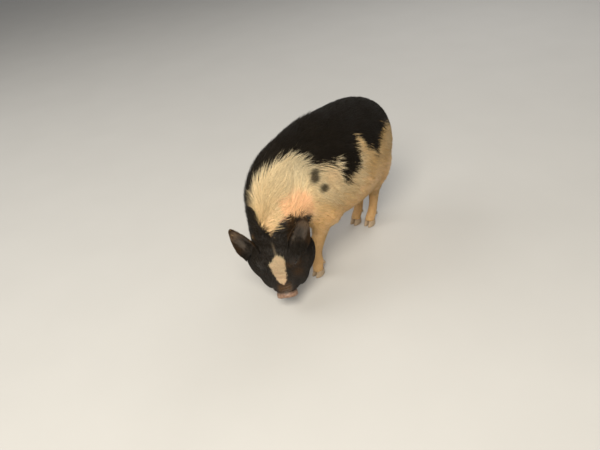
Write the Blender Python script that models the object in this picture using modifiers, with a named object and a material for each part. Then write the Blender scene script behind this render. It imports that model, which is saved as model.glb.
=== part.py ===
"""A life-size sow of a small hairy breed, standing with her head down to feed.

She is built whole from lofted masses, fused and smoothed, and then parted with thin cuts into the pieces
that a person would name. She faces -Y, her left side is +X, and the floor is z = 0. Metres throughout.
The outline is that of her coat, out to the tips of the hair.
"""

import math

import bmesh
import bpy
import numpy as np
from mathutils import Matrix, Vector
from mathutils.bvhtree import BVHTree

GAP = 0.0003  # clear space between pieces that meet face to face
FUSE_VOXEL = 0.006  # grain of the fused body before it is thinned out
# Triangles of each region after thinning out
TRIANGLES = ((("trunk",), 2000), (("leg",), 1200), (("head",), 1150), (("muzzle",), 380))

# Stance, measured on the floor
FRONT_FEET_Y = -0.188
HIND_FEET_Y = 0.225
HIND_STEP = 0.022  # the right hind foot stands this far ahead of the left
FRONT_STANCE = 0.062  # from the midline to a front foot
HIND_STANCE = 0.032
LEG_CUT_FRONT = 0.212  # height where a leg is parted from the trunk
LEG_CUT_HIND = 0.218

# Head: the back of the skull, its length to the snout disc, and how it is turned
OCCIPUT = Vector((0.047, -0.388, 0.309))
HEAD_LENGTH = 0.250
HEAD_YAW = math.radians(35)  # to her left
HEAD_PITCH = math.radians(68)  # below level
HEAD_TILT = math.radians(-7.5)  # the muzzle leans to her left
HEAD_CUT = 0.002  # the neck ends this far along the head

EAR_LENGTH = 0.112
EAR_HALF_WIDTH = 0.046
EAR_THICKNESS = 0.0030

EYE_RADIUS = 0.0125
EYE = (0.059, 0.100, 0.016)  # left eye's centre in head space

HOOF_HEIGHT = 0.026
HOOF_LENGTH = 0.046
HOOF_WIDTH = 0.0215
CLEFT = 0.003  # between the two claws of a foot

TAIL_LENGTH = 0.21

# Mane: flat tapered locks that lie back from the poll over the neck and the shoulders
LOCK_LENGTH = 0.112
LOCK_WIDTH = 0.040
LOCK_THICKNESS = 0.0070
LOCK_SINK = 0.0045  # of the root, below the surface
LOCK_LIFT = 0.013  # of the tip, above it
LOCK_SPREAD = 23  # degrees between neighbours round the neck
MANE_ROWS = (-0.420, -0.392, -0.358, -0.322, -0.285, -0.247, -0.209, -0.171, -0.133, -0.095, -0.057)


def clear_scene():
    for obj in list(bpy.data.objects):
        bpy.data.objects.remove(obj)


def object_of(name, mesh):
    data = bpy.data.meshes.new(name)
    mesh.to_mesh(data)
    mesh.free()
    obj = bpy.data.objects.new(name, data)
    bpy.context.scene.collection.objects.link(obj)
    return obj


def moved(mesh, matrix):
    """The mesh carried by the matrix, its faces still outward where the matrix mirrors."""
    bmesh.ops.transform(mesh, matrix=matrix, verts=mesh.verts)
    if matrix.determinant() < 0:
        bmesh.ops.reverse_faces(mesh, faces=mesh.faces)
    return mesh


def blended(rows, count):
    """The rows as a smooth run of count rows, by a Catmull-Rom curve through them."""
    rows = np.array(rows, float)
    ends = np.vstack([2 * rows[0] - rows[1], rows, 2 * rows[-1] - rows[-2]])
    out = []
    for u in np.linspace(0, len(rows) - 1, count):
        i = min(int(u), len(rows) - 2)
        t = u - i
        a, b, c, d = ends[i : i + 4]
        bend = (2 * a - 5 * b + 4 * c - d) * t**2 + (3 * b - a - 3 * c + d) * t**3
        out.append(0.5 * (2 * b + (c - a) * t + bend))
    return np.array(out)


def ring(centre, side, up, half_width, rise, drop, square, low, count):
    """One cross-section: an oval with its own rise above and drop below the centre.

    square above 2 makes it boxier, and low above 0 moves the widest part down, as in a belly or a jowl.
    """
    points = []
    for k in range(count):
        a = 2 * math.pi * k / count
        x = math.copysign(abs(math.cos(a)) ** (2 / square), math.cos(a))
        z = math.copysign(abs(math.sin(a)) ** (2 / square), math.sin(a))
        x *= half_width * (1 - low * z)
        z *= rise if z > 0 else drop
        points.append(centre + side * x + up * z)
    return points


def bridged(rings):
    """A closed mesh through the rings, flat at both ends."""
    mesh = bmesh.new()
    loops = [[mesh.verts.new(p) for p in points] for points in rings]
    for first, second in zip(loops, loops[1:]):
        for k in range(len(first)):
            n = (k + 1) % len(first)
            mesh.faces.new((first[k], first[n], second[n], second[k]))
    mesh.faces.new(list(reversed(loops[0])))
    mesh.faces.new(loops[-1])
    bmesh.ops.recalc_face_normals(mesh, faces=mesh.faces)
    return mesh


def loft(name, rows, up_hint, around=32, along=28, place=None, upright=False):
    """A closed loft. A row is (x, y, z, half width, rise, drop, squareness, low)."""
    place = place or Matrix.Identity(4)
    rows = blended(rows, along)
    rings = []
    for i, row in enumerate(rows):
        ahead = Vector(rows[min(i + 1, along - 1)][:3]) - Vector(rows[max(i - 1, 0)][:3])
        ahead.normalize()
        side = Vector(up_hint).cross(ahead).normalized()
        up = ahead.cross(side)
        if upright:
            side = Vector((1, 0, 0))
            up = Vector((0, 0, 1))
        points = ring(Vector(row[:3]), side, up, *row[3:], around)
        rings.append([place @ p for p in points])
    return object_of(name, bridged(rings))


def blob(name, centre, radii, turn=(0, 0, 0), place=None, segments=24):
    """An ellipsoid of muscle or fat."""
    mesh = bmesh.new()
    bmesh.ops.create_uvsphere(mesh, u_segments=segments, v_segments=segments // 2, radius=1)
    matrix = Matrix.Identity(4)
    for angle, axis in zip(turn, "XYZ"):
        matrix = Matrix.Rotation(math.radians(angle), 4, axis) @ matrix
    matrix = Matrix.Translation(centre) @ matrix @ Matrix.Diagonal((*radii, 1))
    if place is not None:
        matrix = place @ matrix
    moved(mesh, matrix)
    return object_of(name, mesh)


def head_matrix():
    """Head space: x to her left, y forward along the head, z out of the forehead."""
    c = math.cos(HEAD_PITCH)
    s = math.sin(HEAD_PITCH)
    left = Vector((1, 0, 0))
    forward = Vector((0, -c, -s))
    out = Vector((0, -s, c))
    level = Matrix((left, forward, out)).transposed().to_4x4()
    tilt = Matrix.Rotation(HEAD_TILT, 4, "Z")
    return Matrix.Translation(OCCIPUT) @ Matrix.Rotation(HEAD_YAW, 4, "Z") @ level @ tilt


def torso_masses():
    rows = [
        # x, y, z, half width, rise, drop, squareness, low
        (0, 0.354, 0.440, 0.020, 0.030, 0.035, 2.0, 0.0),
        (0, 0.340, 0.436, 0.074, 0.094, 0.096, 2.1, 0.0),
        (0, 0.292, 0.424, 0.126, 0.168, 0.152, 2.2, 0.0),
        (0, 0.210, 0.412, 0.165, 0.213, 0.178, 2.2, 0.02),
        (0, 0.110, 0.406, 0.189, 0.227, 0.178, 2.2, 0.05),
        (0, 0.000, 0.404, 0.199, 0.229, 0.178, 2.2, 0.06),
        (0, -0.100, 0.404, 0.191, 0.217, 0.172, 2.2, 0.05),
        (0, -0.190, 0.407, 0.173, 0.195, 0.162, 2.1, 0.02),
        (0, -0.262, 0.407, 0.136, 0.150, 0.138, 2.1, 0.0),
        (0, -0.305, 0.400, 0.070, 0.080, 0.075, 2.0, 0.0),
    ]
    found = [loft("trunk", rows, (0, 0, 1), around=36, along=34, upright=True)]
    for sign in (1, -1):
        turned = (10, sign * -8, 0)
        found.append(blob("shoulder", (sign * 0.102, -0.150, 0.385), (0.078, 0.092, 0.145), turned))
        turned = (-12, sign * -6, 0)
        found.append(blob("ham", (sign * 0.078, 0.214, 0.365), (0.080, 0.090, 0.135), turned))
    return found


def neck_masses():
    near = head_matrix() @ Vector((0, 0.030, -0.012))
    rows = [
        (0, -0.060, 0.430, 0.146, 0.178, 0.150, 2.0, 0.0),
        (-0.006, -0.180, 0.427, 0.162, 0.182, 0.168, 2.0, 0.0),
        (0.003, -0.270, 0.403, 0.149, 0.156, 0.152, 2.1, 0.03),
        (0.026, -0.338, 0.356, 0.118, 0.106, 0.118, 2.1, 0.05),
        (near.x, near.y, near.z, 0.100, 0.072, 0.086, 2.1, 0.05),
    ]
    return [loft("neck_mass", rows, (0, 0, 1), around=28, along=18)]


def head_masses():
    place = head_matrix()
    k = HEAD_LENGTH / 0.25
    skull = [
        (0, 0.000 * k, -0.012, 0.088, 0.056, 0.075, 2.2, 0.03),
        (0, 0.045 * k, -0.014, 0.100, 0.067, 0.078, 2.3, 0.06),
        (0, 0.085 * k, -0.020, 0.102, 0.062, 0.072, 2.3, 0.13),
        (0, 0.122 * k, -0.030, 0.092, 0.051, 0.058, 2.3, 0.18),
        (0, 0.162 * k, -0.038, 0.074, 0.039, 0.048, 2.3, 0.15),
        (0, 0.200 * k, -0.038, 0.057, 0.033, 0.042, 2.2, 0.07),
        (0, 0.232 * k, -0.034, 0.045, 0.033, 0.038, 2.2, 0.0),
        (0, 0.240 * k, -0.033, 0.041, 0.032, 0.036, 2.2, 0.0),
    ]
    jaw = [
        (0, 0.020 * k, -0.070, 0.055, 0.040, 0.036, 2.1, 0.0),
        (0, 0.080 * k, -0.078, 0.060, 0.040, 0.038, 2.1, 0.0),
        (0, 0.130 * k, -0.082, 0.050, 0.032, 0.030, 2.1, 0.0),
        (0, 0.170 * k, -0.084, 0.037, 0.024, 0.020, 2.1, 0.0),
        (0, 0.202 * k, -0.082, 0.027, 0.018, 0.014, 2.1, 0.0),
        (0, 0.214 * k, -0.080, 0.014, 0.010, 0.008, 2.0, 0.0),
    ]
    found = [loft("skull", skull, (0, 0, 1), around=32, along=34, place=place)]
    found.append(loft("jaw", jaw, (0, 0, 1), around=24, along=20, place=place))
    for sign in (1, -1):
        turned = (0, 0, sign * 20)
        found.append(blob("jowl", (sign * 0.075, 0.096, -0.062), (0.059, 0.090, 0.056), turned, place))
        found.append(blob("cheek", (sign * 0.054, 0.162, -0.060), (0.045, 0.058, 0.036), turned, place))
        found.append(blob("brow", (sign * 0.054, 0.082, 0.024), (0.026, 0.028, 0.020), (0, 0, 0), place))
    return found


def snout_disc():
    """The flared pad at the end of the snout, a little tipped up."""
    place = head_matrix()
    end = HEAD_LENGTH
    rows = [
        (0, end - 0.026, -0.033, 0.038, 0.031, 0.033, 2.2, 0.0),
        (0, end - 0.015, -0.032, 0.041, 0.034, 0.036, 2.2, 0.0),
        (0, end - 0.004, -0.031, 0.042, 0.036, 0.036, 2.2, 0.0),
        (0, end, -0.030, 0.036, 0.031, 0.031, 2.2, 0.0),
    ]
    return loft("snout_disc", rows, (0, 0, 1), around=32, along=8, place=place)


def front_leg_masses(sign):
    x = sign * FRONT_STANCE
    y = FRONT_FEET_Y
    rows = [
        (sign * 0.098, y + 0.015, 0.440, 0.055, 0.080, 0.095, 2.0, 0),
        (sign * 0.100, y + 0.013, 0.350, 0.062, 0.075, 0.090, 2.0, 0),
        (sign * 0.090, y + 0.020, 0.265, 0.048, 0.054, 0.064, 2.0, 0),
        (sign * 0.075, y + 0.018, 0.205, 0.034, 0.036, 0.042, 2.1, 0),
        (x, y + 0.006, 0.135, 0.026, 0.027, 0.028, 2.2, 0),
        (x, y + 0.004, 0.095, 0.021, 0.021, 0.023, 2.2, 0),
        (x, y + 0.006, 0.060, 0.022, 0.022, 0.025, 2.2, 0),
        (x, y + 0.000, 0.036, 0.023, 0.023, 0.023, 2.3, 0),
        (x, y - 0.002, 0.020, 0.022, 0.022, 0.022, 2.3, 0),
    ]
    return [loft("front_leg", rows, (0, -1, 0), around=24, along=34)]


def hind_foot_y(sign):
    return HIND_FEET_Y - (HIND_STEP if sign < 0 else 0)


def hind_leg_masses(sign):
    x = sign * HIND_STANCE
    y = hind_foot_y(sign)
    t = HIND_FEET_Y
    rows = [
        (sign * 0.080, t - 0.030, 0.450, 0.060, 0.115, 0.090, 2.0, 0),
        (sign * 0.088, t - 0.024, 0.370, 0.070, 0.105, 0.096, 2.0, 0),
        (sign * 0.074, t - 0.012, 0.285, 0.056, 0.078, 0.078, 2.0, 0),
        (sign * 0.054, y + 0.018, 0.215, 0.036, 0.044, 0.050, 2.1, 0),
        (x, y + 0.042, 0.160, 0.024, 0.030, 0.033, 2.2, 0),
        (x, y + 0.034, 0.105, 0.020, 0.021, 0.023, 2.2, 0),
        (x, y + 0.020, 0.060, 0.021, 0.022, 0.025, 2.2, 0),
        (x, y + 0.004, 0.036, 0.022, 0.023, 0.023, 2.3, 0),
        (x, y - 0.002, 0.020, 0.021, 0.022, 0.022, 2.3, 0),
    ]
    return [loft("hind_leg", rows, (0, -1, 0), around=24, along=34)]


def teat(x, y):
    mesh = bmesh.new()
    bmesh.ops.create_cone(mesh, cap_ends=True, segments=8, radius1=0.0045, radius2=0.0085, depth=0.040)
    bmesh.ops.translate(mesh, verts=mesh.verts, vec=(x, y, 0.230))
    return object_of("teat", mesh)


def teats():
    """Five pairs along the belly."""
    made = []
    for sign in (1, -1):
        for i in range(5):
            y = -0.085 + 0.052 * i
            made.append(teat(sign * (0.052 - 0.003 * i), y))
    return made


def joined(name, pieces):
    """The pieces' meshes in one object, for the fusing."""
    mesh = bmesh.new()
    for piece in pieces:
        mesh.from_mesh(piece.data)
        bpy.data.objects.remove(piece)
    return object_of(name, mesh)


def modifier(obj, kind, **settings):
    made = obj.modifiers.new(kind.lower(), kind)
    for key, value in settings.items():
        setattr(made, key, value)
    return made


def applied(obj):
    """The object with its modifiers made real."""
    graph = bpy.context.evaluated_depsgraph_get()
    data = bpy.data.meshes.new_from_object(obj.evaluated_get(graph))
    obj.modifiers.clear()
    obj.data = data
    return obj


def boolean(obj, other, operation, keep_other=False, crossing=False):
    """One form joined to another or cut by it; crossing is for a form whose surface may cross itself."""
    modifier(obj, "BOOLEAN", object=other, operation=operation, solver="EXACT", use_self=crossing)
    applied(obj)
    if not keep_other:
        bpy.data.objects.remove(other)
    return obj


def grown(obj, distance):
    """A copy of a closed form, larger by the distance all round."""
    mesh = bmesh.new()
    mesh.from_mesh(obj.data)
    bmesh.ops.triangulate(mesh, faces=mesh.faces)
    mesh.normal_update()
    moves = [v.normal * distance * v.calc_shell_factor() for v in mesh.verts]
    for vert, move in zip(mesh.verts, moves):
        vert.co += move
    return object_of(obj.name + "_grown", mesh)


def region_of(point, to_head):
    """Which part of the animal a point of the fused body lies in."""
    at = to_head @ point
    if at.y > 0.0 and at.z > -0.15 and point.y < -0.26:
        return "muzzle" if at.y > HEAD_LENGTH - 0.045 else "head"
    if point.z < 0.19:
        return "leg"
    return "trunk"


def smoothed(body):
    """The masses blended into one another, most on the trunk and least on the muzzle and the legs."""
    to_head = head_matrix().inverted()
    share = {"trunk": 1.0, "head": 0.75, "leg": 0.25, "muzzle": 0.12}
    group = body.vertex_groups.new(name="blend")
    for vert in body.data.vertices:
        group.add([vert.index], share[region_of(vert.co, to_head)], "REPLACE")
    modifier(body, "SMOOTH", factor=0.5, iterations=16, vertex_group="blend")
    modifier(body, "SMOOTH", factor=0.5, iterations=2)
    applied(body)
    body.vertex_groups.clear()


def thinned(body):
    """Fewer triangles, each region brought down to its own number."""
    to_head = head_matrix().inverted()
    modifier(body, "TRIANGULATE")
    applied(body)
    for names, target in TRIANGLES:
        group = body.vertex_groups.new(name="thin")
        inside = [region_of(v.co, to_head) in names for v in body.data.vertices]
        for vert in body.data.vertices:
            group.add([vert.index], 1.0 if inside[vert.index] else 0.0, "REPLACE")
        here = sum(all(inside[i] for i in face.vertices) for face in body.data.polygons)
        total = len(body.data.polygons)
        ratio = (total - max(here - target, 0)) / total
        modifier(body, "DECIMATE", ratio=ratio, vertex_group="thin", vertex_group_factor=1.0)
        applied(body)
        body.vertex_groups.clear()


def fused_body():
    """All the flesh in one smooth closed surface."""
    pieces = torso_masses() + neck_masses() + head_masses() + [snout_disc()]
    for sign in (1, -1):
        pieces += front_leg_masses(sign) + hind_leg_masses(sign)
    body = joined("body", pieces)
    modifier(body, "REMESH", mode="VOXEL", voxel_size=FUSE_VOXEL)
    applied(body)
    smoothed(body)
    thinned(body)
    boolean(body, joined("teats", teats()), "UNION")
    return body


def lie(point):
    """The way the mane lies at a point: back toward the tail and, lower on the side, down."""
    side = point.x / 0.17
    return Vector((0.30 * side, 1.0, -0.15 - 0.50 * side * side))


def lock(tree, root, length, width, swing):
    """One flat lock with a pointed tip, its root sunk into the flesh and its tip clear of it."""
    spots = []
    at = root
    stations = 5
    for i in range(stations):
        t = i / (stations - 1)
        near, normal, _, _ = tree.find_nearest(at)
        height = -LOCK_SINK + (LOCK_SINK + LOCK_LIFT) * math.sin(t * math.pi / 2) ** 0.8
        ahead = lie(near) + Vector((swing * t, 0, 0))
        ahead = (ahead - normal * ahead.dot(normal)).normalized()
        spots.append((near + normal * height, normal, ahead))
        at = near + ahead * (length / (stations - 1))
    widths = (0.66, 1.0, 0.88, 0.50, 0.0)
    thicknesses = (1.0, 1.0, 0.80, 0.50, 0.0)
    mesh = bmesh.new()
    loops = []
    for i, (centre, normal, ahead) in enumerate(spots):
        across = ahead.cross(normal).normalized()
        if i == stations - 1:
            loops.append([mesh.verts.new(centre)])
            continue
        half = across * (width * widths[i] / 2)
        thick = normal * (LOCK_THICKNESS * thicknesses[i] / 2)
        corners = (centre + half, centre + thick, centre - half, centre - thick)
        loops.append([mesh.verts.new(p) for p in corners])
    for first, second in zip(loops, loops[1:]):
        for k in range(4):
            n = (k + 1) % 4
            if len(second) == 1:
                mesh.faces.new((first[k], first[n], second[0]))
            else:
                mesh.faces.new((first[k], first[n], second[n], second[k]))
    mesh.faces.new(list(reversed(loops[0])))
    bmesh.ops.recalc_face_normals(mesh, faces=mesh.faces)
    bmesh.ops.triangulate(mesh, faces=mesh.faces)
    return object_of("lock", mesh)


def neck_axis(y):
    """A point inside the neck or the chest at this distance back."""
    bend = min(max((-0.20 - y) / 0.20, 0.0), 1.0)
    return Vector((OCCIPUT.x * bend * bend, y, 0.420 - 0.085 * bend * bend))


def mane(body):
    """Staggered rows of locks from the poll back to behind the withers."""
    tree = BVHTree.FromObject(body, bpy.context.evaluated_depsgraph_get())
    rng = np.random.default_rng(11)
    locks = bpy.data.collections.new("locks")
    bpy.context.scene.collection.children.link(locks)
    for row, y in enumerate(MANE_ROWS):
        reach = 88 if y > -0.34 else 62
        angle = -reach + (row % 2) * LOCK_SPREAD / 2
        while angle <= reach:
            a = math.radians(angle + rng.uniform(-4, 4))
            out = Vector((math.sin(a), -0.25 if y < -0.3 else 0.0, math.cos(a))).normalized()
            start = neck_axis(y + rng.uniform(-0.006, 0.006)) + out * 0.5
            root, normal, _, _ = tree.ray_cast(start, -out)
            angle += LOCK_SPREAD
            if root is None:
                continue
            low = abs(math.sin(a)) ** 2
            length = LOCK_LENGTH * (1 - 0.28 * low) * rng.uniform(0.9, 1.1)
            made = lock(tree, root, length, LOCK_WIDTH * rng.uniform(0.9, 1.1), rng.uniform(-0.25, 0.25))
            for owner in list(made.users_collection):
                owner.objects.unlink(made)
            locks.objects.link(made)
    return locks


def with_mane(body):
    locks = mane(body)
    joining = body.modifiers.new("mane", "BOOLEAN")
    joining.operand_type = "COLLECTION"
    joining.collection = locks
    joining.operation = "UNION"
    joining.solver = "EXACT"
    joining.use_self = True
    applied(body)
    for obj in list(locks.objects):
        bpy.data.objects.remove(obj)
    bpy.data.collections.remove(locks)
    return biggest(body)


def slab(name, centre, normal, half_size):
    """A thin square sheet as thick as the gap, to part two pieces."""
    mesh = bmesh.new()
    bmesh.ops.create_cube(mesh, size=1)
    turn = Vector(normal).to_track_quat("Z", "Y").to_matrix().to_4x4()
    matrix = Matrix.Translation(centre) @ turn @ Matrix.Diagonal((2 * half_size, 2 * half_size, GAP, 1))
    moved(mesh, matrix)
    return object_of(name, mesh)


def box(name, low, high):
    mesh = bmesh.new()
    bmesh.ops.create_cube(mesh, size=1)
    low = Vector(low)
    high = Vector(high)
    matrix = Matrix.Translation((low + high) / 2) @ Matrix.Diagonal((*(high - low), 1))
    moved(mesh, matrix)
    return object_of(name, mesh)


def pieces_of(obj):
    """The loose closed surfaces of a mesh as separate objects, largest first."""
    mesh = bmesh.new()
    mesh.from_mesh(obj.data)
    mesh.verts.ensure_lookup_table()
    seen = set()
    groups = []
    for start in mesh.verts:
        if start.index in seen:
            continue
        stack = [start]
        seen.add(start.index)
        group = []
        while stack:
            vert = stack.pop()
            group.append(vert)
            for edge in vert.link_edges:
                other = edge.other_vert(vert)
                if other.index not in seen:
                    seen.add(other.index)
                    stack.append(other)
        groups.append(group)
    groups.sort(key=len, reverse=True)
    made = []
    for group in groups:
        part = bmesh.new()
        index = {}
        for vert in group:
            index[vert] = part.verts.new(vert.co)
        faces = {face for vert in group for face in vert.link_faces}
        for face in faces:
            part.faces.new([index[v] for v in face.verts])
        made.append(object_of("piece", part))
    mesh.free()
    return made


def parted(body):
    """The body cut into head, neck, torso and four legs."""
    place = head_matrix()
    forward = place.to_3x3() @ Vector((0, 1, 0))
    cuts = [slab("cut_head", place @ Vector((0, HEAD_CUT, -0.020)), forward, 0.135)]
    cuts.append(slab("cut_neck", (0.0, -0.225, 0.420), Vector((0, -1, 0.28)), 0.235))
    for sign in (1, -1):
        front = (sign * 0.076, FRONT_FEET_Y + 0.018, LEG_CUT_FRONT)
        hind = (sign * 0.054, hind_foot_y(sign) + 0.016, LEG_CUT_HIND)
        cuts.append(box("cut_front", *leg_sheet(front, 0.056, 0.060)))
        cuts.append(box("cut_hind", *leg_sheet(hind, 0.0535, 0.075)))
    for cut in cuts:
        boolean(body, cut, "DIFFERENCE")
    found = pieces_of(body)
    bpy.data.objects.remove(body)
    for scrap in found[7:]:
        bpy.data.objects.remove(scrap)
    return found[:7]


def leg_sheet(at, half_x, half_y):
    low = (at[0] - half_x, at[1] - half_y, at[2] - GAP / 2)
    high = (at[0] + half_x, at[1] + half_y, at[2] + GAP / 2)
    return low, high


def face_hit(tree, place, origin, direction):
    """Where a ray given in head space meets the surface, in head space."""
    start = place @ Vector(origin)
    heading = place.to_3x3() @ Vector(direction)
    point, normal, _, _ = tree.ray_cast(start, heading)
    if point is None:
        return None, None
    back = place.inverted()
    return back @ point, back.to_3x3() @ normal


def tube(name, path, radii, around=8, place=None, flat=1.0):
    """A closed tube along a path, with a radius for each point. flat below 1 makes it a strap."""
    place = place or Matrix.Identity(4)
    rings = []
    side = None
    for i, point in enumerate(path):
        ahead = Vector(path[min(i + 1, len(path) - 1)]) - Vector(path[max(i - 1, 0)])
        ahead.normalize()
        hint = side
        if hint is None:
            hint = Vector((0, 0, 1)) if abs(ahead.z) < 0.9 else Vector((1, 0, 0))
        side = (hint - ahead * hint.dot(ahead)).normalized()
        up = ahead.cross(side)
        points = []
        for k in range(around):
            a = 2 * math.pi * k / around
            spoke = side * math.cos(a) * flat + up * math.sin(a)
            points.append(place @ (Vector(point) + spoke * radii[i]))
        rings.append(points)
    return object_of(name, bridged(rings))


def eye_centre(sign):
    return Vector((sign * EYE[0], EYE[1], EYE[2]))


def eye(sign, radius=EYE_RADIUS, segments=16):
    mesh = bmesh.new()
    bmesh.ops.create_uvsphere(mesh, u_segments=segments, v_segments=segments // 2, radius=radius)
    turn = Vector((sign * 0.8, 0.25, 0.55)).to_track_quat("Z", "Y").to_matrix().to_4x4()
    matrix = head_matrix() @ Matrix.Translation(eye_centre(sign)) @ turn
    moved(mesh, matrix)
    return object_of("eye", mesh)


def lids(sign):
    """Upper and lower lid, two swept rolls that close round the eyeball and meet at its corners."""
    out = Vector((sign * 0.80, 0.25, 0.55)).normalized()  # the way she looks
    along = Vector((sign * -0.35, 0.93, 0.09))
    along = (along - out * along.dot(out)).normalized()  # from the back corner to the front one
    across = out.cross(along)
    if across.z < 0:
        across = -across
    made = []
    for name, lift, thick in (("upper_lid", 0.0088, 0.0042), ("lower_lid", -0.0062, 0.0034)):
        path = []
        radii = []
        for i in range(7):
            t = -1 + i / 3
            a = t * math.radians(82)
            height = lift * math.cos(a)
            reach = EYE_RADIUS * 1.08 * math.sin(a)
            depth = math.sqrt(max((EYE_RADIUS * 1.06) ** 2 - height**2 - reach**2, 0.0))
            depth = max(depth, 0.0028)
            path.append(eye_centre(sign) + along * reach + across * height + out * depth)
            radii.append(thick * (0.62 + 0.38 * math.cos(a)))
        made.append(tube(name, path, radii, around=6, place=head_matrix()))
    return made


def mouth_groove(head):
    """The line between the lips, swept along the muzzle from one corner round the front to the other."""
    place = head_matrix()
    tree = BVHTree.FromObject(head, bpy.context.evaluated_depsgraph_get())
    left = []
    for i in range(7):
        t = i / 6
        y = 0.118 + (HEAD_LENGTH - 0.040 - 0.118) * t
        z = -0.060 - 0.014 * t + 0.006 * math.sin(math.pi * t)
        point, _ = face_hit(tree, place, (0.2, y, z), (-1, 0, 0))
        if point is not None:
            left.append(point + Vector((0.0004, 0, 0)))
    right = []
    for i in range(7):
        t = i / 6
        y = 0.118 + (HEAD_LENGTH - 0.040 - 0.118) * t
        z = -0.060 - 0.014 * t + 0.006 * math.sin(math.pi * t)
        point, _ = face_hit(tree, place, (-0.2, y, z), (1, 0, 0))
        if point is not None:
            right.append(point - Vector((0.0004, 0, 0)))
    front = []
    for x in (0.018, 0.0, -0.018):
        point, _ = face_hit(tree, place, (x, HEAD_LENGTH + 0.1, -0.0755), (0, -1, 0))
        if point is not None:
            front.append(point)
    path = left + front + list(reversed(right))
    radii = [0.0020] * len(path)
    for i in range(3):
        radii[i] = 0.0010 + 0.0004 * i
        radii[-1 - i] = radii[i]
    return tube("mouth", path, radii, around=5, place=place)


def nostril(sign):
    """A blind oval hole in the snout disc."""
    at = (sign * 0.0145, HEAD_LENGTH - 0.001, -0.0285)
    return blob("nostril", at, (0.0062, 0.0110, 0.0088), (0, 0, 0), head_matrix(), segments=14)


def finished_head(head):
    place = head_matrix()
    for sign in (1, -1):
        for lid in lids(sign):
            boolean(head, lid, "UNION")
    for sign in (1, -1):
        boolean(head, eye(sign, EYE_RADIUS + GAP), "DIFFERENCE")
        boolean(head, nostril(sign), "DIFFERENCE")
    boolean(head, mouth_groove(head), "DIFFERENCE")
    return head


def ear(sign):
    """A pricked, forward-facing ear: a tapering sheet cupped round its long axis."""
    mesh = bmesh.new()
    base = Vector((sign * 0.083, 0.032, 0.014))
    along = Vector((sign * 0.45, -0.79, 0.36)).normalized()
    face = Vector((sign * 0.12, 0.42, 0.90))
    face = (face - along * face.dot(along)).normalized()  # the way the cup opens
    across = along.cross(face) * sign
    rows = 8
    columns = 9
    grid = []
    for i in range(rows):
        u = i / (rows - 1)
        width = EAR_HALF_WIDTH * math.sqrt(max(1 - u**2.6, 0.0)) * (1 - 0.30 * u)
        width *= 0.84 + 0.20 * min(u / 0.42, 1.0)  # narrower at the root
        width = max(width, 0.0035)
        curl = math.radians(104 - 60 * u**0.8)  # half the angle that the sheet wraps
        radius = width / math.sin(min(curl, math.pi / 2))
        centre = base + along * (EAR_LENGTH * (u * 1.20 - 0.10)) + face * (0.008 * u * u)
        row = []
        for j in range(columns):
            v = -1 + 2 * j / (columns - 1)
            a = v * curl
            sunk = radius * (1 - math.cos(a)) * (1.0 if u < 0.9 else 0.8)
            row.append(mesh.verts.new(centre + across * radius * math.sin(a) + face * (sunk - 0.006)))
        grid.append(row)
    for i in range(rows - 1):
        for j in range(columns - 1):
            mesh.faces.new((grid[i][j], grid[i][j + 1], grid[i + 1][j + 1], grid[i + 1][j]))
    bmesh.ops.recalc_face_normals(mesh, faces=mesh.faces)
    moved(mesh, head_matrix())
    obj = object_of("ear", mesh)
    modifier(obj, "SOLIDIFY", thickness=EAR_THICKNESS, offset=0.0)
    applied(obj)
    return obj


def tail_path(count=12):
    points = []
    for i in range(count):
        t = i / (count - 1)
        y = 0.335 + 0.052 * math.sin(min(t * 2.6, math.pi / 2)) - 0.020 * t
        z = 0.500 - TAIL_LENGTH * t * (0.55 + 0.45 * t)
        points.append(Vector((0.010 * math.sin(t * 2.5), y, z)))
    return points


def tail():
    """Straight and hanging, with a tuft at the end."""
    path = tail_path()
    radii = [0.0150, 0.0140, 0.0128, 0.0115, 0.0102, 0.0090, 0.0080, 0.0082, 0.0105, 0.0120, 0.0090, 0.0022]
    return tube("tail", path, radii, around=10)


def claw(sign_side, foot_x, foot_y, side):
    """One hoof of a foot: flat sole, straight inner wall, rounded outer wall, sloping toe.

    side is +1 for the claw on the +X side of the foot.
    """
    rings = []
    for height, back, toe, width in (
        (0.000, -0.019, 0.0280, HOOF_WIDTH),
        (0.004, -0.020, 0.0275, HOOF_WIDTH + 0.0006),
        (0.016, -0.0200, 0.0205, HOOF_WIDTH),
        (HOOF_HEIGHT - GAP, -0.0195, 0.0170, HOOF_WIDTH - 0.0012),
    ):
        points = []
        for k in range(14):
            a = 2 * math.pi * k / 14
            lengthwise = math.cos(a)
            crosswise = math.sin(a)
            y = (toe + back) / 2 + (toe - back) / 2 * lengthwise
            narrow = 1 - 0.35 * max(lengthwise, 0) ** 3
            x = width / 2 * math.copysign(abs(crosswise) ** 0.75, crosswise) * narrow
            x -= 0.0022 * max(lengthwise, 0) ** 2
            points.append(Vector((foot_x + side * (CLEFT / 2 + width / 2 + x), foot_y - y, height)))
        rings.append(points)
    return object_of("claw", bridged(rings))


def dewclaw(foot_x, foot_y, z, side):
    """A small horny cone behind the pastern, pointing down and back."""
    path = []
    for i in range(4):
        t = i / 3
        x = foot_x + side * (0.010 + 0.003 * t)
        path.append(Vector((x, foot_y + 0.012 + 0.015 * t, z + 0.006 - 0.023 * t)))
    return tube("dewclaw", path, [0.0080, 0.0076, 0.0064, 0.0030], around=7)


def material(name, colour, roughness):
    made = bpy.data.materials.new(name)
    made.use_nodes = True
    shader = made.node_tree.nodes["Principled BSDF"]
    shader.inputs["Base Color"].default_value = (*colour, 1)
    shader.inputs["Roughness"].default_value = roughness
    return made


def named(collection, obj, name, colour, roughness):
    """The piece under its own name and material, in the object's collection."""
    obj.name = name
    obj.data.name = name
    obj.data.materials.clear()
    obj.data.materials.append(material(name, colour, roughness))
    for owner in list(obj.users_collection):
        owner.objects.unlink(obj)
    collection.objects.link(obj)
    return obj


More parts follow.
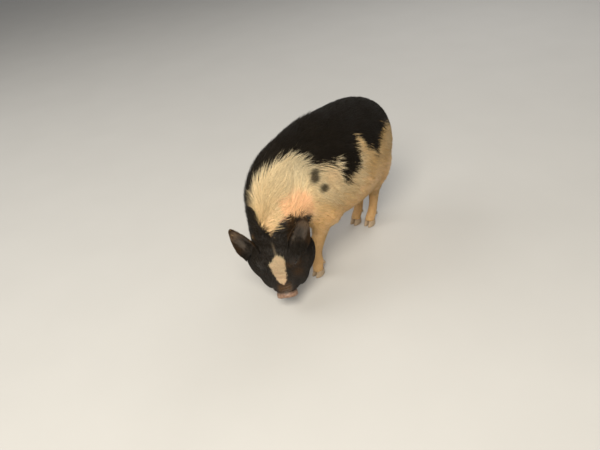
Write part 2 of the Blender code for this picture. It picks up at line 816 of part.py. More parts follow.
BLACK_COAT = (0.012, 0.010, 0.009)
CREAM_COAT = (0.60, 0.50, 0.33)
TAN_COAT = (0.42, 0.27, 0.13)
HORN = (0.10, 0.075, 0.055)
EYE_BROWN = (0.018, 0.010, 0.006)


def sorted_flesh(found):
    """The parted pieces by name, told apart by where they lie."""
    names = {}
    for piece in found:
        points = [v.co for v in piece.data.vertices]
        x = sum(p.x for p in points) / len(points)
        y = sum(p.y for p in points) / len(points)
        top = max(p.z for p in points)
        low = min(p.z for p in points)
        if top < 0.23:
            side = "left" if x > 0 else "right"
            end = "front" if y < 0 else "hind"
            names["leg_" + end + "_" + side] = piece
        elif top > 0.5 and y > -0.2:
            names["torso"] = piece
        elif top > 0.45:
            names["neck"] = piece
        else:
            names["head"] = piece
    return names


def main():
    clear_scene()
    sow = bpy.data.collections.new("sow")
    bpy.context.scene.collection.children.link(sow)
    flesh = sorted_flesh(parted(with_mane(fused_body())))
    head = finished_head(flesh["head"])
    clear_head = grown(head, GAP)
    clear_neck = grown(flesh["neck"], GAP)
    named(sow, head, "head", BLACK_COAT, 0.55)
    named(sow, flesh["neck"], "neck", CREAM_COAT, 0.7)
    named(sow, flesh["torso"], "torso", CREAM_COAT, 0.7)
    for sign, side in ((1, "left"), (-1, "right")):
        made = ear(sign)
        boolean(made, clear_head, "DIFFERENCE", keep_other=True, crossing=True)
        boolean(made, clear_neck, "DIFFERENCE", keep_other=True, crossing=True)
        named(sow, biggest(made), "ear_" + side, BLACK_COAT, 0.6)
        named(sow, eye(sign), "eye_" + side, EYE_BROWN, 0.08)
    bpy.data.objects.remove(clear_head)
    bpy.data.objects.remove(clear_neck)
    hanging = tail()
    boolean(hanging, grown(flesh["torso"], GAP), "DIFFERENCE")
    named(sow, biggest(hanging), "tail", BLACK_COAT, 0.7)
    for sign, side in ((1, "left"), (-1, "right")):
        for end, x, y in (
            ("front", sign * FRONT_STANCE, FRONT_FEET_Y),
            ("hind", sign * HIND_STANCE, hind_foot_y(sign)),
        ):
            leg = flesh["leg_" + end + "_" + side]
            under = box("floor_cut", (x - 0.1, y - 0.1, -0.05), (x + 0.1, y + 0.1, HOOF_HEIGHT))
            boolean(leg, under, "DIFFERENCE")
            clear_leg = grown(leg, GAP)
            for place, step in (("outer", sign), ("inner", -sign)):
                where = end + "_" + side + "_" + place
                named(sow, claw(sign, x, y, step), "hoof_" + where, HORN, 0.5)
                back = 0.006 if end == "front" else 0.014
                spur = dewclaw(x, y + back, 0.058, step)
                boolean(spur, clear_leg, "DIFFERENCE", keep_other=True)
                named(sow, biggest(spur), "dewclaw_" + where, HORN, 0.5)
            bpy.data.objects.remove(clear_leg)
            named(sow, leg, "leg_" + end + "_" + side, TAN_COAT, 0.7)
    centred(sow)


def centred(collection):
    """The whole animal moved so that the middle of its outline is over the origin."""
    low = Vector((1e9, 1e9, 1e9))
    high = -low
    for obj in collection.objects:
        for vert in obj.data.vertices:
            for i in range(3):
                low[i] = min(low[i], vert.co[i])
                high[i] = max(high[i], vert.co[i])
    shift = Vector((-(low.x + high.x) / 2, -(low.y + high.y) / 2, -low.z))
    for obj in collection.objects:
        obj.data.transform(Matrix.Translation(shift))


def biggest(obj):
    """Only the largest closed surface of a piece, the rest dropped."""
    found = pieces_of(obj)
    bpy.data.objects.remove(obj)
    for other in found[1:]:
        bpy.data.objects.remove(other)
    return found[0]


main()
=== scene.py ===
# %% [markdown]
# # A small hairy sow with her head down
#
# The object is a life-size museum model of a sow of a small, round, long-haired breed, black and cream,
# who stands with her nose near the floor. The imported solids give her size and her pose. This script
# dresses them: one skin, a coat of fine tufts, a face, eyes and hooves.

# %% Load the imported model
import math

import bmesh
import bpy
import numpy as np
from mathutils import Matrix, Vector, kdtree
from mathutils.bvhtree import BVHTree


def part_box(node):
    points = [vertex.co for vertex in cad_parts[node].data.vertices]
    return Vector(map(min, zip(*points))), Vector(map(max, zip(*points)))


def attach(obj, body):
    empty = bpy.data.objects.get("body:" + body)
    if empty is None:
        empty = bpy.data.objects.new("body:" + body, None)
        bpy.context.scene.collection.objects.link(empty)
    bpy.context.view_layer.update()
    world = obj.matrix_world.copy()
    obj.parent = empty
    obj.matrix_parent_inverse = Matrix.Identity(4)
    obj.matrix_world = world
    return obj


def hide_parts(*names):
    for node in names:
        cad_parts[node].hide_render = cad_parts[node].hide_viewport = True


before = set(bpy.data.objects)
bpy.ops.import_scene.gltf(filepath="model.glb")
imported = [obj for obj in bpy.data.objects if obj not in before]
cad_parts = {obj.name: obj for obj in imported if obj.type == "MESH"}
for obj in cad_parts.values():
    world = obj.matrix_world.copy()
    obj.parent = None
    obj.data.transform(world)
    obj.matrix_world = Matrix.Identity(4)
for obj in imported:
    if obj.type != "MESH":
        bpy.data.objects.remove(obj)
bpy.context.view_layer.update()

# %% [markdown]
# ## Where she stands
#
# Her body is laid out in measures of its own: the middle of her trunk is x = 0, the front feet stand at
# y = -0.188 and the hind feet at y = 0.225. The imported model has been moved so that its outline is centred,
# so one shift, read from a hoof, carries every piece that is made below into its place.

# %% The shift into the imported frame
FRONT_FEET_Y = -0.188
HIND_FEET_Y = 0.225
HIND_STEP = 0.022  # the right hind foot stands this far ahead of the left
FRONT_STANCE = 0.062  # from the midline to a front foot
HIND_STANCE = 0.032
CLEFT = 0.003  # between the two claws of a foot
TOE_REACH = 0.028  # from a front foot's centre to its toe

hoof_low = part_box("hoof_front_left_outer")[0]
SHIFT = Vector((hoof_low.x - FRONT_STANCE - CLEFT / 2, hoof_low.y - FRONT_FEET_Y + TOE_REACH, 0))
print("shift", [round(v, 4) for v in SHIFT])


def placed(obj, slot, *nodes):
    """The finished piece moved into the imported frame, riding on the one body, standing for the nodes."""
    obj.data.transform(Matrix.Translation(SHIFT))
    for polygon in obj.data.polygons:
        polygon.use_smooth = True
    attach(obj, "root")
    if nodes:
        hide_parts(*nodes)
    return obj


# %% [markdown]
# ## The camera
#
# The picture looks down on her from a person's height, ahead of her left shoulder, and it leans a little.
# The place and the tilt of such a camera follow from the lens, from where lines that run along her body
# would meet in the picture, and from the picture point where her left hind foot stands.

# %% Work out the camera
PICTURE_WIDTH = 600  # in points
FOCAL = 560.0  # in points too
FILM_WIDTH = 36  # mm
MIDDLE = np.array((300.0, 225.0))
MEET = np.array((570.0, -195.0))  # where level lines along the wall meet
LEAN = math.radians(8)
TURN = math.radians(20)  # her body against those lines
HEIGHT = 1.5  # of the lens above the floor
FOOT_POINT = np.array((370.0, 224.0))
FOOT_PLACE = np.array((HIND_STANCE + SHIFT.x, HIND_FEET_Y + SHIFT.y, 0.0))


def unit(vector):
    return vector / np.linalg.norm(vector)


along = unit(np.array((*(MEET - MIDDLE), FOCAL)))
plumb = np.array((math.sin(LEAN), math.cos(LEAN)))
down = unit(np.array((*(plumb * -(FOCAL**2) / np.dot(MEET - MIDDLE, plumb)), FOCAL)))
aside = np.cross(down, along)
axis_y = along * math.cos(TURN) + aside * math.sin(TURN)
axis_x = aside * math.cos(TURN) - along * math.sin(TURN)
seen = np.array((axis_x, axis_y, -down))  # her three axes in the camera's own
ray = np.array((*(FOOT_POINT - MIDDLE), FOCAL))
eye_place = FOOT_PLACE - seen @ (ray / np.dot(ray, down) * HEIGHT)

lens = bpy.data.cameras.new("camera")
lens.sensor_width = FILM_WIDTH
lens.lens = FOCAL * FILM_WIDTH / PICTURE_WIDTH
camera = bpy.data.objects.new("camera", lens)
bpy.context.scene.collection.objects.link(camera)
turn = Matrix([[row[0], -row[1], -row[2]] for row in seen])
camera.matrix_world = Matrix.Translation(eye_place) @ turn.to_4x4()
bpy.context.scene.camera = camera
print("camera at", eye_place.round(3), "lens", round(lens.lens, 1), "mm")

# %% [markdown]
# ## Making flesh
#
# A body could be sculpted by hand, or built from masses as an animal modeller does with clay: a trunk,
# shoulders, hams, a neck, a skull, jowls and legs, each a simple swelling form, pressed together and
# smoothed. The second way is used, because each mass can be given a size in metres. A loft is a run of ovals
# along a path, and a blob is a ball drawn out along its axes.

# %% Helpers for simple closed forms


def object_of(name, mesh):
    data = bpy.data.meshes.new(name)
    mesh.to_mesh(data)
    mesh.free()
    obj = bpy.data.objects.new(name, data)
    bpy.context.scene.collection.objects.link(obj)
    return obj


def blended(rows, count):
    """The rows as a smooth run of count rows, by a Catmull-Rom curve through them."""
    rows = np.array(rows, float)
    ends = np.vstack([2 * rows[0] - rows[1], rows, 2 * rows[-1] - rows[-2]])
    out = []
    for u in np.linspace(0, len(rows) - 1, count):
        i = min(int(u), len(rows) - 2)
        t = u - i
        a, b, c, d = ends[i : i + 4]
        bend = (2 * a - 5 * b + 4 * c - d) * t**2 + (3 * b - a - 3 * c + d) * t**3
        out.append(0.5 * (2 * b + (c - a) * t + bend))
    return np.array(out)


def ring(centre, side, up, half_width, rise, drop, square, low, count):
    """One cross-section: an oval with its own rise above and drop below the centre."""
    points = []
    for k in range(count):
        a = 2 * math.pi * k / count
        x = math.copysign(abs(math.cos(a)) ** (2 / square), math.cos(a))
        z = math.copysign(abs(math.sin(a)) ** (2 / square), math.sin(a))
        x *= half_width * (1 - low * z)
        z *= rise if z > 0 else drop
        points.append(centre + side * x + up * z)
    return points


def bridged(rings):
    """A closed mesh through the rings, flat at both ends."""
    mesh = bmesh.new()
    loops = [[mesh.verts.new(p) for p in points] for points in rings]
    for first, second in zip(loops, loops[1:]):
        for k in range(len(first)):
            n = (k + 1) % len(first)
            mesh.faces.new((first[k], first[n], second[n], second[k]))
    mesh.faces.new(list(reversed(loops[0])))
    mesh.faces.new(loops[-1])
    bmesh.ops.recalc_face_normals(mesh, faces=mesh.faces)
    return mesh


def loft(name, rows, up_hint, around=32, count=28, place=None, upright=False):
    """A closed loft. A row is (x, y, z, half width, rise, drop, squareness, low)."""
    place = place or Matrix.Identity(4)
    rows = blended(rows, count)
    rings = []
    for i, row in enumerate(rows):
        ahead = Vector(rows[min(i + 1, count - 1)][:3]) - Vector(rows[max(i - 1, 0)][:3])
        ahead.normalize()
        side = Vector(up_hint).cross(ahead).normalized()
        up = ahead.cross(side)
        if upright:
            side = Vector((1, 0, 0))
            up = Vector((0, 0, 1))
        points = ring(Vector(row[:3]), side, up, *row[3:], around)
        rings.append([place @ p for p in points])
    return object_of(name, bridged(rings))


def blob(name, centre, radii, turn=(0, 0, 0), place=None, segments=24):
    """An ellipsoid of muscle or fat."""
    mesh = bmesh.new()
    bmesh.ops.create_uvsphere(mesh, u_segments=segments, v_segments=segments // 2, radius=1)
    matrix = Matrix.Identity(4)
    for angle, axis in zip(turn, "XYZ"):
        matrix = Matrix.Rotation(math.radians(angle), 4, axis) @ matrix
    matrix = Matrix.Translation(centre) @ matrix @ Matrix.Diagonal((*radii, 1))
    if place is not None:
        matrix = place @ matrix
    bmesh.ops.transform(mesh, matrix=matrix, verts=mesh.verts)
    if matrix.determinant() < 0:
        bmesh.ops.reverse_faces(mesh, faces=mesh.faces)
    return object_of(name, mesh)


def tube(name, path, radii, around=12):
    """A closed tube along a path, with a radius for each point."""
    rings = []
    side = Vector((1, 0, 0))
    for i, point in enumerate(path):
        ahead = Vector(path[min(i + 1, len(path) - 1)]) - Vector(path[max(i - 1, 0)])
        ahead.normalize()
        side = (side - ahead * side.dot(ahead)).normalized()
        up = ahead.cross(side)
        turns = [2 * math.pi * k / around for k in range(around)]
        spokes = [side * math.cos(a) + up * math.sin(a) for a in turns]
        rings.append([Vector(point) + spoke * radii[i] for spoke in spokes])
    return object_of(name, bridged(rings))


# %% [markdown]
# The head is laid out in a space of its own, which makes a face much easier to build: x to her left,
# y forward along the muzzle and z out of the forehead. One matrix turns that space down and to her left.

# %% Head space
OCCIPUT = Vector((0.047, -0.388, 0.309))
HEAD_LENGTH = 0.250
HEAD_YAW = math.radians(35)
HEAD_PITCH = math.radians(68)
HEAD_TILT = math.radians(-7.5)  # the muzzle leans to her left

pitch_c = math.cos(HEAD_PITCH)
pitch_s = math.sin(HEAD_PITCH)
level = Matrix(((1, 0, 0), (0, -pitch_c, -pitch_s), (0, -pitch_s, pitch_c))).transposed().to_4x4()
tilt = Matrix.Rotation(HEAD_TILT, 4, "Z")
HEAD = Matrix.Translation(OCCIPUT) @ Matrix.Rotation(HEAD_YAW, 4, "Z") @ level @ tilt
HEAD_BACK = HEAD.inverted()
HEAD_TURN = np.array(HEAD.to_3x3())
HEAD_TURN_BACK = np.array(HEAD_BACK.to_3x3())


def to_head(points):
    """Points of the body, as an array, in head space."""
    return points @ HEAD_TURN_BACK.T + np.array(HEAD_BACK.translation)


def from_head(points):
    return points @ HEAD_TURN.T + np.array(OCCIPUT)


print("snout ends at", [round(v, 3) for v in HEAD @ Vector((0, HEAD_LENGTH, -0.03))])

# %% The masses of trunk, neck and head
near = HEAD @ Vector((0, 0.030, -0.012))
TRUNK = [
    (0, 0.354, 0.440, 0.020, 0.030, 0.035, 2.0, 0.0),
    (0, 0.340, 0.436, 0.074, 0.094, 0.096, 2.1, 0.0),
    (0, 0.292, 0.424, 0.126, 0.168, 0.152, 2.2, 0.0),
    (0, 0.210, 0.412, 0.165, 0.213, 0.178, 2.2, 0.02),
    (0, 0.110, 0.406, 0.189, 0.227, 0.178, 2.2, 0.05),
    (0, 0.000, 0.404, 0.199, 0.229, 0.178, 2.2, 0.06),
    (0, -0.100, 0.404, 0.191, 0.217, 0.172, 2.2, 0.05),
    (0, -0.190, 0.407, 0.173, 0.195, 0.162, 2.1, 0.02),
    (0, -0.262, 0.407, 0.136, 0.150, 0.138, 2.1, 0.0),
    (0, -0.305, 0.400, 0.070, 0.080, 0.075, 2.0, 0.0),
]
NECK = [
    (0, -0.060, 0.430, 0.146, 0.178, 0.150, 2.0, 0.0),
    (-0.006, -0.180, 0.427, 0.162, 0.182, 0.168, 2.0, 0.0),
    (0.003, -0.270, 0.403, 0.149, 0.156, 0.152, 2.1, 0.03),
    (0.026, -0.338, 0.356, 0.118, 0.106, 0.118, 2.1, 0.05),
    (near.x, near.y, near.z, 0.100, 0.072, 0.086, 2.1, 0.05),
]
SKULL = [
    (0, 0.000, -0.012, 0.088, 0.056, 0.075, 2.2, 0.03),
    (0, 0.045, -0.014, 0.100, 0.067, 0.078, 2.3, 0.06),
    (0, 0.085, -0.020, 0.102, 0.062, 0.072, 2.3, 0.13),
    (0, 0.122, -0.030, 0.092, 0.051, 0.058, 2.3, 0.18),
    (0, 0.162, -0.038, 0.074, 0.039, 0.048, 2.3, 0.15),
    (0, 0.200, -0.038, 0.057, 0.033, 0.042, 2.2, 0.07),
    (0, 0.232, -0.034, 0.045, 0.033, 0.038, 2.2, 0.0),
    (0, 0.240, -0.033, 0.041, 0.032, 0.036, 2.2, 0.0),
]
JAW = [
    (0, 0.020, -0.070, 0.055, 0.040, 0.036, 2.1, 0.0),
    (0, 0.080, -0.078, 0.060, 0.040, 0.038, 2.1, 0.0),
    (0, 0.130, -0.082, 0.050, 0.032, 0.030, 2.1, 0.0),
    (0, 0.170, -0.084, 0.037, 0.024, 0.020, 2.1, 0.0),
    (0, 0.202, -0.082, 0.027, 0.018, 0.014, 2.1, 0.0),
    (0, 0.214, -0.080, 0.014, 0.010, 0.008, 2.0, 0.0),
]
SNOUT_DISC = [
    (0, HEAD_LENGTH - 0.026, -0.033, 0.038, 0.031, 0.033, 2.2, 0.0),
    (0, HEAD_LENGTH - 0.015, -0.032, 0.041, 0.034, 0.036, 2.2, 0.0),
    (0, HEAD_LENGTH - 0.004, -0.031, 0.042, 0.036, 0.036, 2.2, 0.0),
    (0, HEAD_LENGTH, -0.030, 0.036, 0.031, 0.031, 2.2, 0.0),
]
masses = [
    loft("trunk", TRUNK, (0, 0, 1), 36, 34, upright=True),
    loft("neck_mass", NECK, (0, 0, 1), 28, 18),
    loft("skull", SKULL, (0, 0, 1), 32, 34, HEAD),
    loft("jaw", JAW, (0, 0, 1), 24, 20, HEAD),
    loft("snout_disc", SNOUT_DISC, (0, 0, 1), 32, 8, HEAD),
]
for sign in (1, -1):
    masses.append(blob("shoulder", (sign * 0.102, -0.150, 0.385), (0.078, 0.092, 0.145), (10, sign * -8, 0)))
    masses.append(blob("ham", (sign * 0.078, 0.214, 0.365), (0.080, 0.090, 0.135), (-12, sign * -6, 0)))
    swing = (0, 0, sign * 20)
    masses.append(blob("jowl", (sign * 0.075, 0.096, -0.062), (0.059, 0.090, 0.056), swing, HEAD))
    masses.append(blob("cheek", (sign * 0.054, 0.162, -0.060), (0.045, 0.058, 0.036), swing, HEAD))
    masses.append(blob("brow", (sign * 0.054, 0.082, 0.024), (0.026, 0.028, 0.020), (0, 0, 0), HEAD))
print("masses so far:", len(masses))

# %% The masses of the legs


def hind_foot_y(sign):
    return HIND_FEET_Y - (HIND_STEP if sign < 0 else 0)


def front_leg(sign):
    x = sign * FRONT_STANCE
    y = FRONT_FEET_Y
    rows = [
        (sign * 0.098, y + 0.015, 0.440, 0.055, 0.080, 0.095, 2.0, 0),
        (sign * 0.100, y + 0.013, 0.350, 0.062, 0.075, 0.090, 2.0, 0),
        (sign * 0.090, y + 0.020, 0.265, 0.048, 0.054, 0.064, 2.0, 0),
        (sign * 0.075, y + 0.018, 0.205, 0.034, 0.036, 0.042, 2.1, 0),
        (x, y + 0.006, 0.135, 0.026, 0.027, 0.028, 2.2, 0),
        (x, y + 0.004, 0.095, 0.021, 0.021, 0.023, 2.2, 0),
        (x, y + 0.006, 0.060, 0.022, 0.022, 0.025, 2.2, 0),
        (x, y + 0.000, 0.036, 0.023, 0.023, 0.023, 2.3, 0),
        (x, y - 0.002, 0.020, 0.022, 0.022, 0.022, 2.3, 0),
    ]
    return loft("front_leg", rows, (0, -1, 0), 24, 34)


def hind_leg(sign):
    x = sign * HIND_STANCE
    y = hind_foot_y(sign)
    t = HIND_FEET_Y
    rows = [
        (sign * 0.080, t - 0.030, 0.450, 0.060, 0.115, 0.090, 2.0, 0),
        (sign * 0.088, t - 0.024, 0.370, 0.070, 0.105, 0.096, 2.0, 0),
        (sign * 0.074, t - 0.012, 0.285, 0.056, 0.078, 0.078, 2.0, 0),
        (sign * 0.054, y + 0.018, 0.215, 0.036, 0.044, 0.050, 2.1, 0),
        (x, y + 0.042, 0.160, 0.024, 0.030, 0.033, 2.2, 0),
        (x, y + 0.034, 0.105, 0.020, 0.021, 0.023, 2.2, 0),
        (x, y + 0.020, 0.060, 0.021, 0.022, 0.025, 2.2, 0),
        (x, y + 0.004, 0.036, 0.022, 0.023, 0.023, 2.3, 0),
        (x, y - 0.002, 0.020, 0.021, 0.022, 0.022, 2.3, 0),
    ]
    return loft("hind_leg", rows, (0, -1, 0), 24, 34)


for sign in (1, -1):
    masses += [front_leg(sign), hind_leg(sign)]
print("masses with legs:", len(masses))

# %% [markdown]
# Voxel remeshing turns the overlapping masses into one closed surface. Its creases are then relaxed, most on
# the trunk and least on the muzzle and the legs, where the forms are crisp. Last, the surface is drawn in by
# the depth of the coat, because the solids give the outline out to the tips of the hair.

# %% Fuse, relax and draw in the skin
FUSE_VOXEL = 0.006


def modifier(obj, kind, **settings):
    made = obj.modifiers.new(kind.lower(), kind)
    for key, value in settings.items():
        setattr(made, key, value)
    graph = bpy.context.evaluated_depsgraph_get()
    data = bpy.data.meshes.new_from_object(obj.evaluated_get(graph))
    obj.modifiers.clear()
    obj.data = data
    return obj


def joined(name, pieces):
    mesh = bmesh.new()
    for piece in pieces:
        mesh.from_mesh(piece.data)
        bpy.data.objects.remove(piece)
    return object_of(name, mesh)


def points_of(obj):
    out = np.empty(len(obj.data.vertices) * 3)
    obj.data.vertices.foreach_get("co", out)
    return out.reshape(-1, 3)


def normals_of(obj):
    out = np.empty(len(obj.data.vertices) * 3, np.float32)
    obj.data.vertices.foreach_get("normal", out)
    return out.reshape(-1, 3).astype(float)


def set_points(obj, points):
    obj.data.vertices.foreach_set("co", np.ascontiguousarray(points, np.float32).ravel())
    obj.data.update()


def smooth_step(value, low, high):
    t = np.clip((value - low) / (high - low), 0, 1)
    return t * t * (3 - 2 * t)


def relax(obj, points, weight, rounds):
    """Each point drawn toward the mean of its neighbours, round after round."""
    edges = np.empty(len(obj.data.edges) * 2, np.int32)
    obj.data.edges.foreach_get("vertices", edges)
    one, two = edges.reshape(-1, 2).T
    count = len(points)
    share = np.bincount(one, minlength=count) + np.bincount(two, minlength=count)
    points = points.copy()
    weight = np.broadcast_to(weight, count)
    for _ in range(rounds):
        for axis in range(3):
            column = points[:, axis]
            total = np.bincount(one, column[two], count) + np.bincount(two, column[one], count)
            points[:, axis] += weight * (total / np.maximum(share, 1) - column)
    return points


def face_share(points):
    """How far each point belongs to the head, and how far to the end of the muzzle."""
    at = to_head(points)
    ahead = (points[:, 1] < -0.26) & (at[:, 2] > -0.15)
    return np.where(ahead, at[:, 1], -1.0)


skin = modifier(joined("skin", masses), "REMESH", mode="VOXEL", voxel_size=FUSE_VOXEL)
skin.name = "skin"
flesh = points_of(skin)
forward = face_share(flesh)
give = np.where(flesh[:, 2] < 0.19, 0.0625, 0.25)  # legs, trunk
give = np.where(forward > 0, 0.1875, give)  # head
give = np.where(forward > HEAD_LENGTH - 0.045, 0.03, give)  # snout
flesh = relax(skin, flesh, give, 16)
flesh = relax(skin, flesh, 0.25, 2)
set_points(skin, flesh)


def coat_depth(points, normals):
    """From the tips of the coat down to the skin."""
    forward = face_share(points)
    depth = np.full(len(points), 0.0070)
    depth -= 0.0035 * smooth_step(-normals[:, 2], 0.3, 0.9)  # thin on the belly
    depth += (0.0016 - depth) * smooth_step(-points[:, 2], -0.25, -0.12)  # legs
    depth += (0.0018 - depth) * smooth_step(forward, -0.01, 0.06)  # face
    depth += (0.0003 - depth) * smooth_step(forward, 0.19, 0.225)  # snout
    return depth


flesh = flesh - normals_of(skin) * coat_depth(flesh, normals_of(skin))[:, None]
set_points(skin, flesh)
print("skin:", len(skin.data.polygons), "faces after fusing")

# %% [markdown]
# ## Ears, tail and teats
#
# A pig's ear is a tapering sheet of gristle, cupped round its long axis, that grows out of the side of the
# skull. It is made as a grid of points with its own thickness, thin at the rim and stout at the root. The
# tail is a tapering tube and the teats are short cones. All of them are joined to the skin by one Boolean
# union, and the seam is relaxed until it reads as one skin.

# %% Make the ears
EAR_LENGTH = 0.112
EAR_HALF_WIDTH = 0.046


def ear_axes(sign):
    root = Vector((sign * 0.083, 0.032, 0.014))
    length = Vector((sign * 0.45, -0.79, 0.36)).normalized()
    cup = Vector((sign * 0.12, 0.42, 0.90))
    cup = (cup - length * cup.dot(length)).normalized()
    return root, length, cup, length.cross(cup) * sign


def ear(sign, rows=34, columns=31):
    root, length, cup, across = ear_axes(sign)
    sheet = np.zeros((rows, columns, 3))
    thick = np.zeros((rows, columns))
    for i in range(rows):
        u = i / (rows - 1)
        width = EAR_HALF_WIDTH * math.sqrt(max(1 - u**2.6, 0.0)) * (1 - 0.30 * u)
        width *= 0.78 + 0.26 * smooth_step(u, 0.0, 0.42)
        width = max(width - 0.0008, 0.0022)
        curl = math.radians(110 - 66 * u**0.8)
        radius = width / math.sin(min(curl, math.pi / 2))
        centre = root + length * (EAR_LENGTH * (u * 1.20 - 0.10)) + cup * (0.008 * u * u)
        for j in range(columns):
            v = -1 + 2 * j / (columns - 1)
            a = v * curl
            sunk = radius * (1 - math.cos(a))
            ripple = 0.0010 * math.sin(9 * v + 4 * u) * (1 - u) * abs(v)
            sheet[i, j] = centre + across * radius * math.sin(a) + cup * (sunk - 0.006 + ripple)
            ridge = math.exp(-(((v - 0.30) / 0.07) ** 2)) + math.exp(-(((v + 0.28) / 0.06) ** 2))
            thick[i, j] = 0.0009 + 0.0011 * (1 - v**4) * (1 - 0.6 * u) + 0.0008 * ridge * max(1 - 1.7 * u, 0)
    tangent_u = np.gradient(sheet, axis=0)
    tangent_v = np.gradient(sheet, axis=1)
    normal = np.cross(tangent_u, tangent_v)
    normal /= np.maximum(np.linalg.norm(normal, axis=2, keepdims=True), 1e-9)
    mesh = bmesh.new()
    sides = []
    for step in (0.5, -0.5):
        points = from_head((sheet + normal * thick[:, :, None] * step).reshape(-1, 3))
        sides.append([mesh.verts.new(p) for p in points])
    for i in range(rows - 1):
        for j in range(columns - 1):
            corners = (i * columns + j, i * columns + j + 1, (i + 1) * columns + j + 1, (i + 1) * columns + j)
            mesh.faces.new([sides[0][k] for k in corners])
            mesh.faces.new([sides[1][k] for k in reversed(corners)])
    edge = list(range(columns))
    edge += [i * columns + columns - 1 for i in range(1, rows)]
    edge += [(rows - 1) * columns + j for j in range(columns - 2, -1, -1)]
    edge += [i * columns for i in range(rows - 2, 0, -1)]
    for one, two in zip(edge, edge[1:] + edge[:1]):
        mesh.faces.new((sides[0][two], sides[0][one], sides[1][one], sides[1][two]))
    bmesh.ops.recalc_face_normals(mesh, faces=mesh.faces)
    return object_of("ear", mesh)


# %% Make the tail and the teats
TAIL_LENGTH = 0.21


def tail_path(count=24):
    points = []
    for i in range(count):
        t = i / (count - 1)
        y = 0.335 + 0.052 * math.sin(min(t * 2.6, math.pi / 2)) - 0.020 * t
        z = 0.500 - TAIL_LENGTH * t * (0.55 + 0.45 * t)
        points.append(Vector((0.010 * math.sin(t * 2.5), y, z)))
    return points


tail_core = tail_path()[:-4]
tail_radii = [0.0105 - 0.0065 * (i / (len(tail_core) - 1)) for i in range(len(tail_core))]
growths = [ear(1), ear(-1), tube("tail_core", [tuple(p) for p in tail_core], tail_radii, 16)]
for sign in (1, -1):
    for i in range(5):
        x = sign * (0.052 - 0.003 * i)
        y = -0.085 + 0.052 * i
        column = [(x, y, z) for z in (0.250, 0.232, 0.218, 0.2125, 0.2112)]
        growths.append(tube("teat", column, [0.0080, 0.0068, 0.0052, 0.0040, 0.0016], 14))
print("ears, tail and teats:", len(growths))

# %% [markdown]
# The face needs a much finer mesh than the flank, so faces are cut into four where the detail is, once for
# the whole head and again round the eyes, the nostrils and the lips.

# %% Join them to the skin


def cut_finer(obj, inside):
    """Every face whose middle the test takes is cut into four."""
    mesh = bmesh.new()
    mesh.from_mesh(obj.data)
    centres = np.array([face.calc_center_median() for face in mesh.faces])
    chosen = inside(centres)
    edges = {edge for face, take in zip(mesh.faces, chosen) if take for edge in face.edges}
    bmesh.ops.subdivide_edges(mesh, edges=list(edges), cuts=1, use_grid_fill=True)
    mesh.to_mesh(obj.data)
    mesh.free()
    return obj


def tree_of(obj):
    return BVHTree.FromObject(obj, bpy.context.evaluated_depsgraph_get())


cut_finer(skin, lambda p: (face_share(p) > -0.02) & (face_share(p) < 0.28) | (p[:, 2] < 0.20))
set_points(skin, relax(skin, points_of(skin), 0.2, 2))
bpy.context.view_layer.update()
skin_tree = tree_of(skin)
growth = joined("growth", growths)
bpy.context.view_layer.update()
growth_tree = tree_of(growth)
modifier(skin, "BOOLEAN", object=growth, operation="UNION", solver="EXACT")
bpy.data.objects.remove(growth)
welded = bmesh.new()
welded.from_mesh(skin.data)
bmesh.ops.remove_doubles(welded, verts=welded.verts, dist=0.0002)
bmesh.ops.triangulate(welded, faces=[face for face in welded.faces if len(face.verts) > 4])
welded.to_mesh(skin.data)
welded.free()

flesh = points_of(skin)
ON_BOTH = 0.0003  # a point this near to both forms lies on their seam
both = [
    all(tree.find_nearest(Vector(p), ON_BOTH)[0] is not None for tree in (skin_tree, growth_tree))
    for p in flesh
]
seam = kdtree.KDTree(max(sum(both), 1))
for i in np.flatnonzero(both):
    seam.insert(Vector(flesh[i]), int(i))
seam.balance()
far = np.array([seam.find(Vector(p))[2] for p in flesh])
set_points(skin, relax(skin, flesh, 0.5 * np.exp(-((far / 0.006) ** 2)), 14))
print("seam points:", sum(both), "faces:", len(skin.data.polygons))

# %% [markdown]
# The coat will need to know, for each hair, where on the skin it grows. The skin is unwrapped once, by its
# own shape, before it is cut finer, and the finer points inherit their places on that map.

# %% Unwrap the skin
bpy.context.view_layer.objects.active = skin
skin.select_set(True)
bpy.ops.object.mode_set(mode="EDIT")
bpy.ops.mesh.select_all(action="SELECT")
bpy.ops.uv.smart_project(angle_limit=math.radians(66), island_margin=0.004)
bpy.ops.object.mode_set(mode="OBJECT")
skin.data.uv_layers[0].name = "skin_map"
print("unwrapped:", len(skin.data.uv_layers))

# %% [markdown]
# ## The face
#
# The lids, the nostrils, the lips and the wrinkles could be separate pieces laid on the head, but on a living
# head they are one skin. So the points of the skin are moved, each by a small rule that knows where the point
# is against the eye, the nostril or the mouth. The mesh is first made as fine as each form needs.

# %% Make the mesh finer where the face has its detail
EYE_RADIUS = 0.0125
EYE = (0.059, 0.100, 0.016)  # left eye's centre in head space
NOSTRIL = (0.0145, HEAD_LENGTH, -0.0285)
NOSTRIL_HALF = (0.0066, 0.0092)  # half its width and half its height


def from_spot(points, spot):
    """Distance in head space from the spot or its twin on the other side."""
    at = to_head(points)
    at[:, 0] = np.abs(at[:, 0])
    return np.linalg.norm(at - np.array(spot), axis=1)


def finest_faces(points):
    return (from_spot(points, EYE) < 0.020) | (from_spot(points, NOSTRIL) < 0.014)


def fine_faces(points):
    at = to_head(points)
    ahead = face_share(points)
    lips = (ahead > 0.105) & (np.abs(at[:, 2] + 0.066) < 0.022)
    return (from_spot(points, EYE) < 0.030) | (ahead > 0.190) | lips


